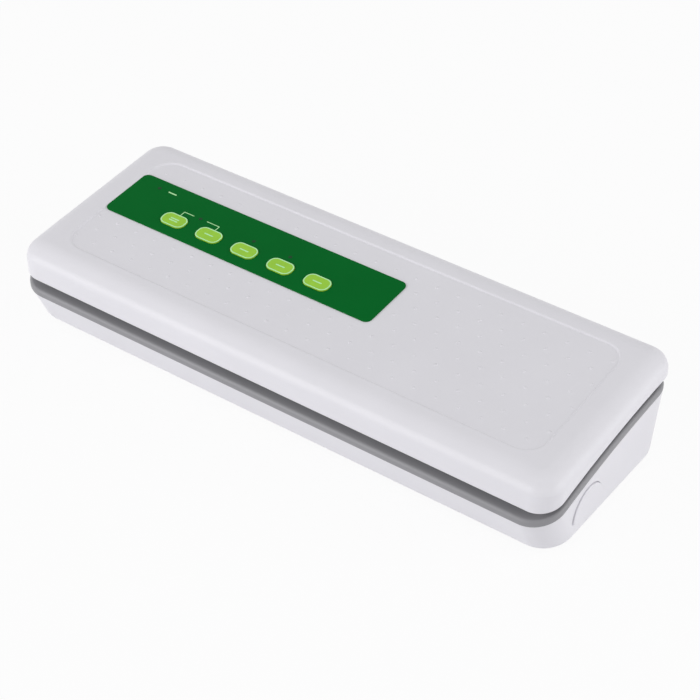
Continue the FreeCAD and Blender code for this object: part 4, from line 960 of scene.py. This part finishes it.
class SEALER_OT_gaskets(Operator):
    """Lay the two foam gaskets in their grooves"""

    bl_idname = "sealer.gaskets"
    bl_label = "Foam Gaskets"

    def execute(self, context):
        size = sizes()
        tree = band_tree()
        for node, body in (("lower_gasket", "base"), ("upper_gasket", "lid")):
            (left, right), (front, back), (low, high) = DECK.span_of(node)
            middle = ((left + right) / 2, (front + back) / 2, (low + high) / 2)
            width = size.gasket_width
            mesh = grown(
                tree, [middle], Length=right - left - width, Depth=back - front - width,
                Corner=size.gasket_corner, Width=width, Height=high - low, Round=size.gasket_round,
                Finish=finish("gasket_foam"),
            )
            mesh.transform(DECK.matrix())
            piece(f"{node}_foam", mesh, body, "gasket_foam", "gasket_foam", node)
        return {"FINISHED"}


class SEALER_OT_screws(Operator):
    """Put cross-head screws in the lid's liner and under the base"""

    bl_idname = "sealer.screws"
    bl_label = "Screws"

    def execute(self, context):
        size = sizes()
        tree = screw_tree()
        level = Plane("main_board")
        for node, plane in (("lid_screws", DECK), ("base_screws", level)):
            parts = loose_parts(node)
            spans = [plane.span(part) for part in parts]
            places = [((x[0] + x[1]) / 2, (u[0] + u[1]) / 2, n[0]) for x, u, n in spans]
            x, u, n = spans[0]
            head = (x[1] - x[0]) / 2
            tip = [point for point in parts[0] if point.dot(plane.normal) > n[1] - MERGE_DISTANCE]
            shank = (plane.span(tip)[0][1] - plane.span(tip)[0][0]) / 2
            mesh = grown(
                tree, places, Head_Radius=head, Head_Height=size.head_height, Shank_Radius=shank,
                Shank_Length=n[1] - n[0], Slot_Width=size.slot_width, Slot_Depth=size.slot_depth,
                Finish=finish("steel"),
            )
            mesh.transform(plane.matrix())
            piece(f"{node}_cross", mesh, body_of(node), "steel", "steel", node)
        return {"FINISHED"}


class SEALER_OT_inside(Operator):
    """Finish the pump, the boards and the other pieces inside the housing"""

    bl_idname = "sealer.inside"
    bl_label = "Inner Pieces"

    def execute(self, context):
        for node in (
            "vacuum_hose", "pump_motor", "capacitor", "pressure_switch", "motor_rotor", "intake_nozzle",
        ):
            skin(node, f"{node}_skin")
        painted(
            "hinge_pin_left", "hinge_pin_right", "pump_crankcase", "connecting_rod", "pump_diaphragm",
            "pump_head", "main_board", "relay", "transformer", "control_board", "tact_switches",
            "indicator_leds",
        )
        for side in SIDES:
            self.bend_spring(side)
        return {"FINISHED"}

    def bend_spring(self, side):
        """Dress a return spring and give it its own copy of its mesh; its fold against its rib as its button
        goes in is not made here.
        """
        node, joint = f"return_spring_{side}", f"{side}_release"
        spring = skin(node, f"spring_leaf_{side}")
        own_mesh(spring)


class SEALER_OT_stage(Operator):
    """Set up the floor, the lamps, the sky and the camera"""

    bl_idname = "sealer.stage"
    bl_label = "Studio"

    def execute(self, context):
        scene = context.scene
        scene.view_settings.view_transform = "Standard"
        self.lay_floor(scene)
        self.light_sky(scene)
        self.hang_lamp(scene, "front_lamp", FRONT_LAMP, stage().front_power)
        self.hang_lamp(scene, "side_lamp", SIDE_LAMP, stage().side_power)
        self.hang_lamp(scene, "top_lamp", TOP_LAMP, stage().top_power)
        self.place_camera(scene)
        return {"FINISHED"}

    def lay_floor(self, scene):
        shape = bmesh.new()
        bmesh.ops.create_grid(shape, x_segments=1, y_segments=1, size=FLOOR_REACH)
        mesh = bpy.data.meshes.new("studio_floor")
        shape.to_mesh(mesh)
        shape.free()
        floor = bpy.data.objects.new("studio_floor", mesh)
        scene.collection.objects.link(floor)
        look = Finish("studio_floor")
        look.shade(look.noise(grain=0.4), tuple(colours().floor), spread=0.01)
        look.set(Roughness=0.9)
        nodes, links = look.nodes, look.links
        seen = self.seen_ray(nodes, links)
        glow = nodes.new("ShaderNodeEmission")
        veil = nodes.new("ShaderNodeMath")
        veil.operation = "MULTIPLY"
        veil.inputs[1].default_value = FLOOR_VEIL
        links.new(seen, veil.inputs[0])
        mix = nodes.new("ShaderNodeMixShader")
        links.new(veil.outputs["Value"], mix.inputs["Fac"])
        links.new(look.shader.outputs["BSDF"], mix.inputs[1])
        links.new(glow.outputs["Emission"], mix.inputs[2])
        links.new(mix.outputs["Shader"], nodes["Material Output"].inputs["Surface"])
        mesh.materials.append(look.material)

    def seen_ray(self, nodes, links):
        """1 on rays from the camera, also by way of a mirror or a clear piece."""
        path = nodes.new("ShaderNodeLightPath")
        total = path.outputs["Is Camera Ray"]
        for name in ("Is Glossy Ray", "Is Transmission Ray"):
            either = nodes.new("ShaderNodeMath")
            either.operation = "MAXIMUM"
            links.new(total, either.inputs[0])
            links.new(path.outputs[name], either.inputs[1])
            total = either.outputs["Value"]
        return total

    def light_sky(self, scene):
        sky = bpy.data.worlds.new("studio_sky")
        scene.world = sky
        sky.use_nodes = True
        nodes, links = sky.node_tree.nodes, sky.node_tree.links
        seen = self.seen_ray(nodes, links)
        level = nodes.new("ShaderNodeMapRange")
        level.inputs["To Min"].default_value = stage().sky_strength
        level.inputs["To Max"].default_value = 1.0
        links.new(seen, level.inputs["Value"])
        background = nodes["Background"]
        background.inputs["Color"].default_value = (1, 1, 1, 1)
        links.new(level.outputs["Result"], background.inputs["Strength"])

    def hang_lamp(self, scene, name, location, power):
        data = bpy.data.lights.new(name, "AREA")
        data.size = stage().lamp_size
        data.energy = power
        lamp = bpy.data.objects.new(name, data)
        lamp.location = location
        aim = Vector(stage().camera_target) - Vector(location)
        lamp.rotation_euler = aim.to_track_quat("-Z", "Y").to_euler()
        scene.collection.objects.link(lamp)

    def place_camera(self, scene):
        data = bpy.data.cameras.new("studio_camera")
        data.sensor_width = SENSOR_WIDTH
        data.lens = stage().focal_pixels / FRAME_PIXELS * SENSOR_WIDTH
        camera = bpy.data.objects.new("studio_camera", data)
        turn, rise = stage().camera_turn, stage().camera_rise
        back = Vector((math.sin(turn) * math.cos(rise), -math.cos(turn) * math.cos(rise), math.sin(rise)))
        camera.location = Vector(stage().camera_target) + back * stage().camera_distance
        camera.rotation_euler = (-back).to_track_quat("-Z", "Y").to_euler()
        scene.collection.objects.link(camera)
        scene.camera = camera


OPERATORS = (
    SEALER_OT_shells, SEALER_OT_lid_dots, SEALER_OT_panel, SEALER_OT_keys, SEALER_OT_deck, SEALER_OT_gaskets,
    SEALER_OT_screws, SEALER_OT_inside, SEALER_OT_stage,
)


class SEALER_PT_sidebar(Panel):
    """Lists the sealer's pieces and its studio"""

    bl_idname = "SEALER_PT_sidebar"
    bl_label = "Vacuum Sealer"
    bl_space_type = "VIEW_3D"
    bl_region_type = "UI"
    bl_category = "Sealer"

    def draw(self, context):
        for operator in OPERATORS:
            self.layout.operator(operator.bl_idname)
        for group in (sizes(), colours(), stage()):
            box = self.layout.box()
            for name in group.bl_rna.properties.keys():
                if name not in ("rna_type", "name"):
                    box.prop(group, name)


CLASSES = (SealerSizes, SealerColours, StageSettings, *OPERATORS, SEALER_PT_sidebar)


def register():
    for item in CLASSES:
        bpy.utils.register_class(item)
    bpy.types.Scene.sealer_sizes = PointerProperty(type=SealerSizes)
    bpy.types.Scene.sealer_colours = PointerProperty(type=SealerColours)
    bpy.types.Scene.sealer_stage = PointerProperty(type=StageSettings)


def unregister():
    del bpy.types.Scene.sealer_stage
    del bpy.types.Scene.sealer_colours
    del bpy.types.Scene.sealer_sizes
    for item in reversed(CLASSES):
        bpy.utils.unregister_class(item)


def main():
    register()
    bpy.ops.sealer.shells()
    bpy.ops.sealer.lid_dots()
    bpy.ops.sealer.panel()
    bpy.ops.sealer.keys()
    bpy.ops.sealer.deck()
    bpy.ops.sealer.gaskets()
    bpy.ops.sealer.screws()
    bpy.ops.sealer.inside()
    bpy.ops.sealer.stage()


if __name__ == "__main__":
    main()
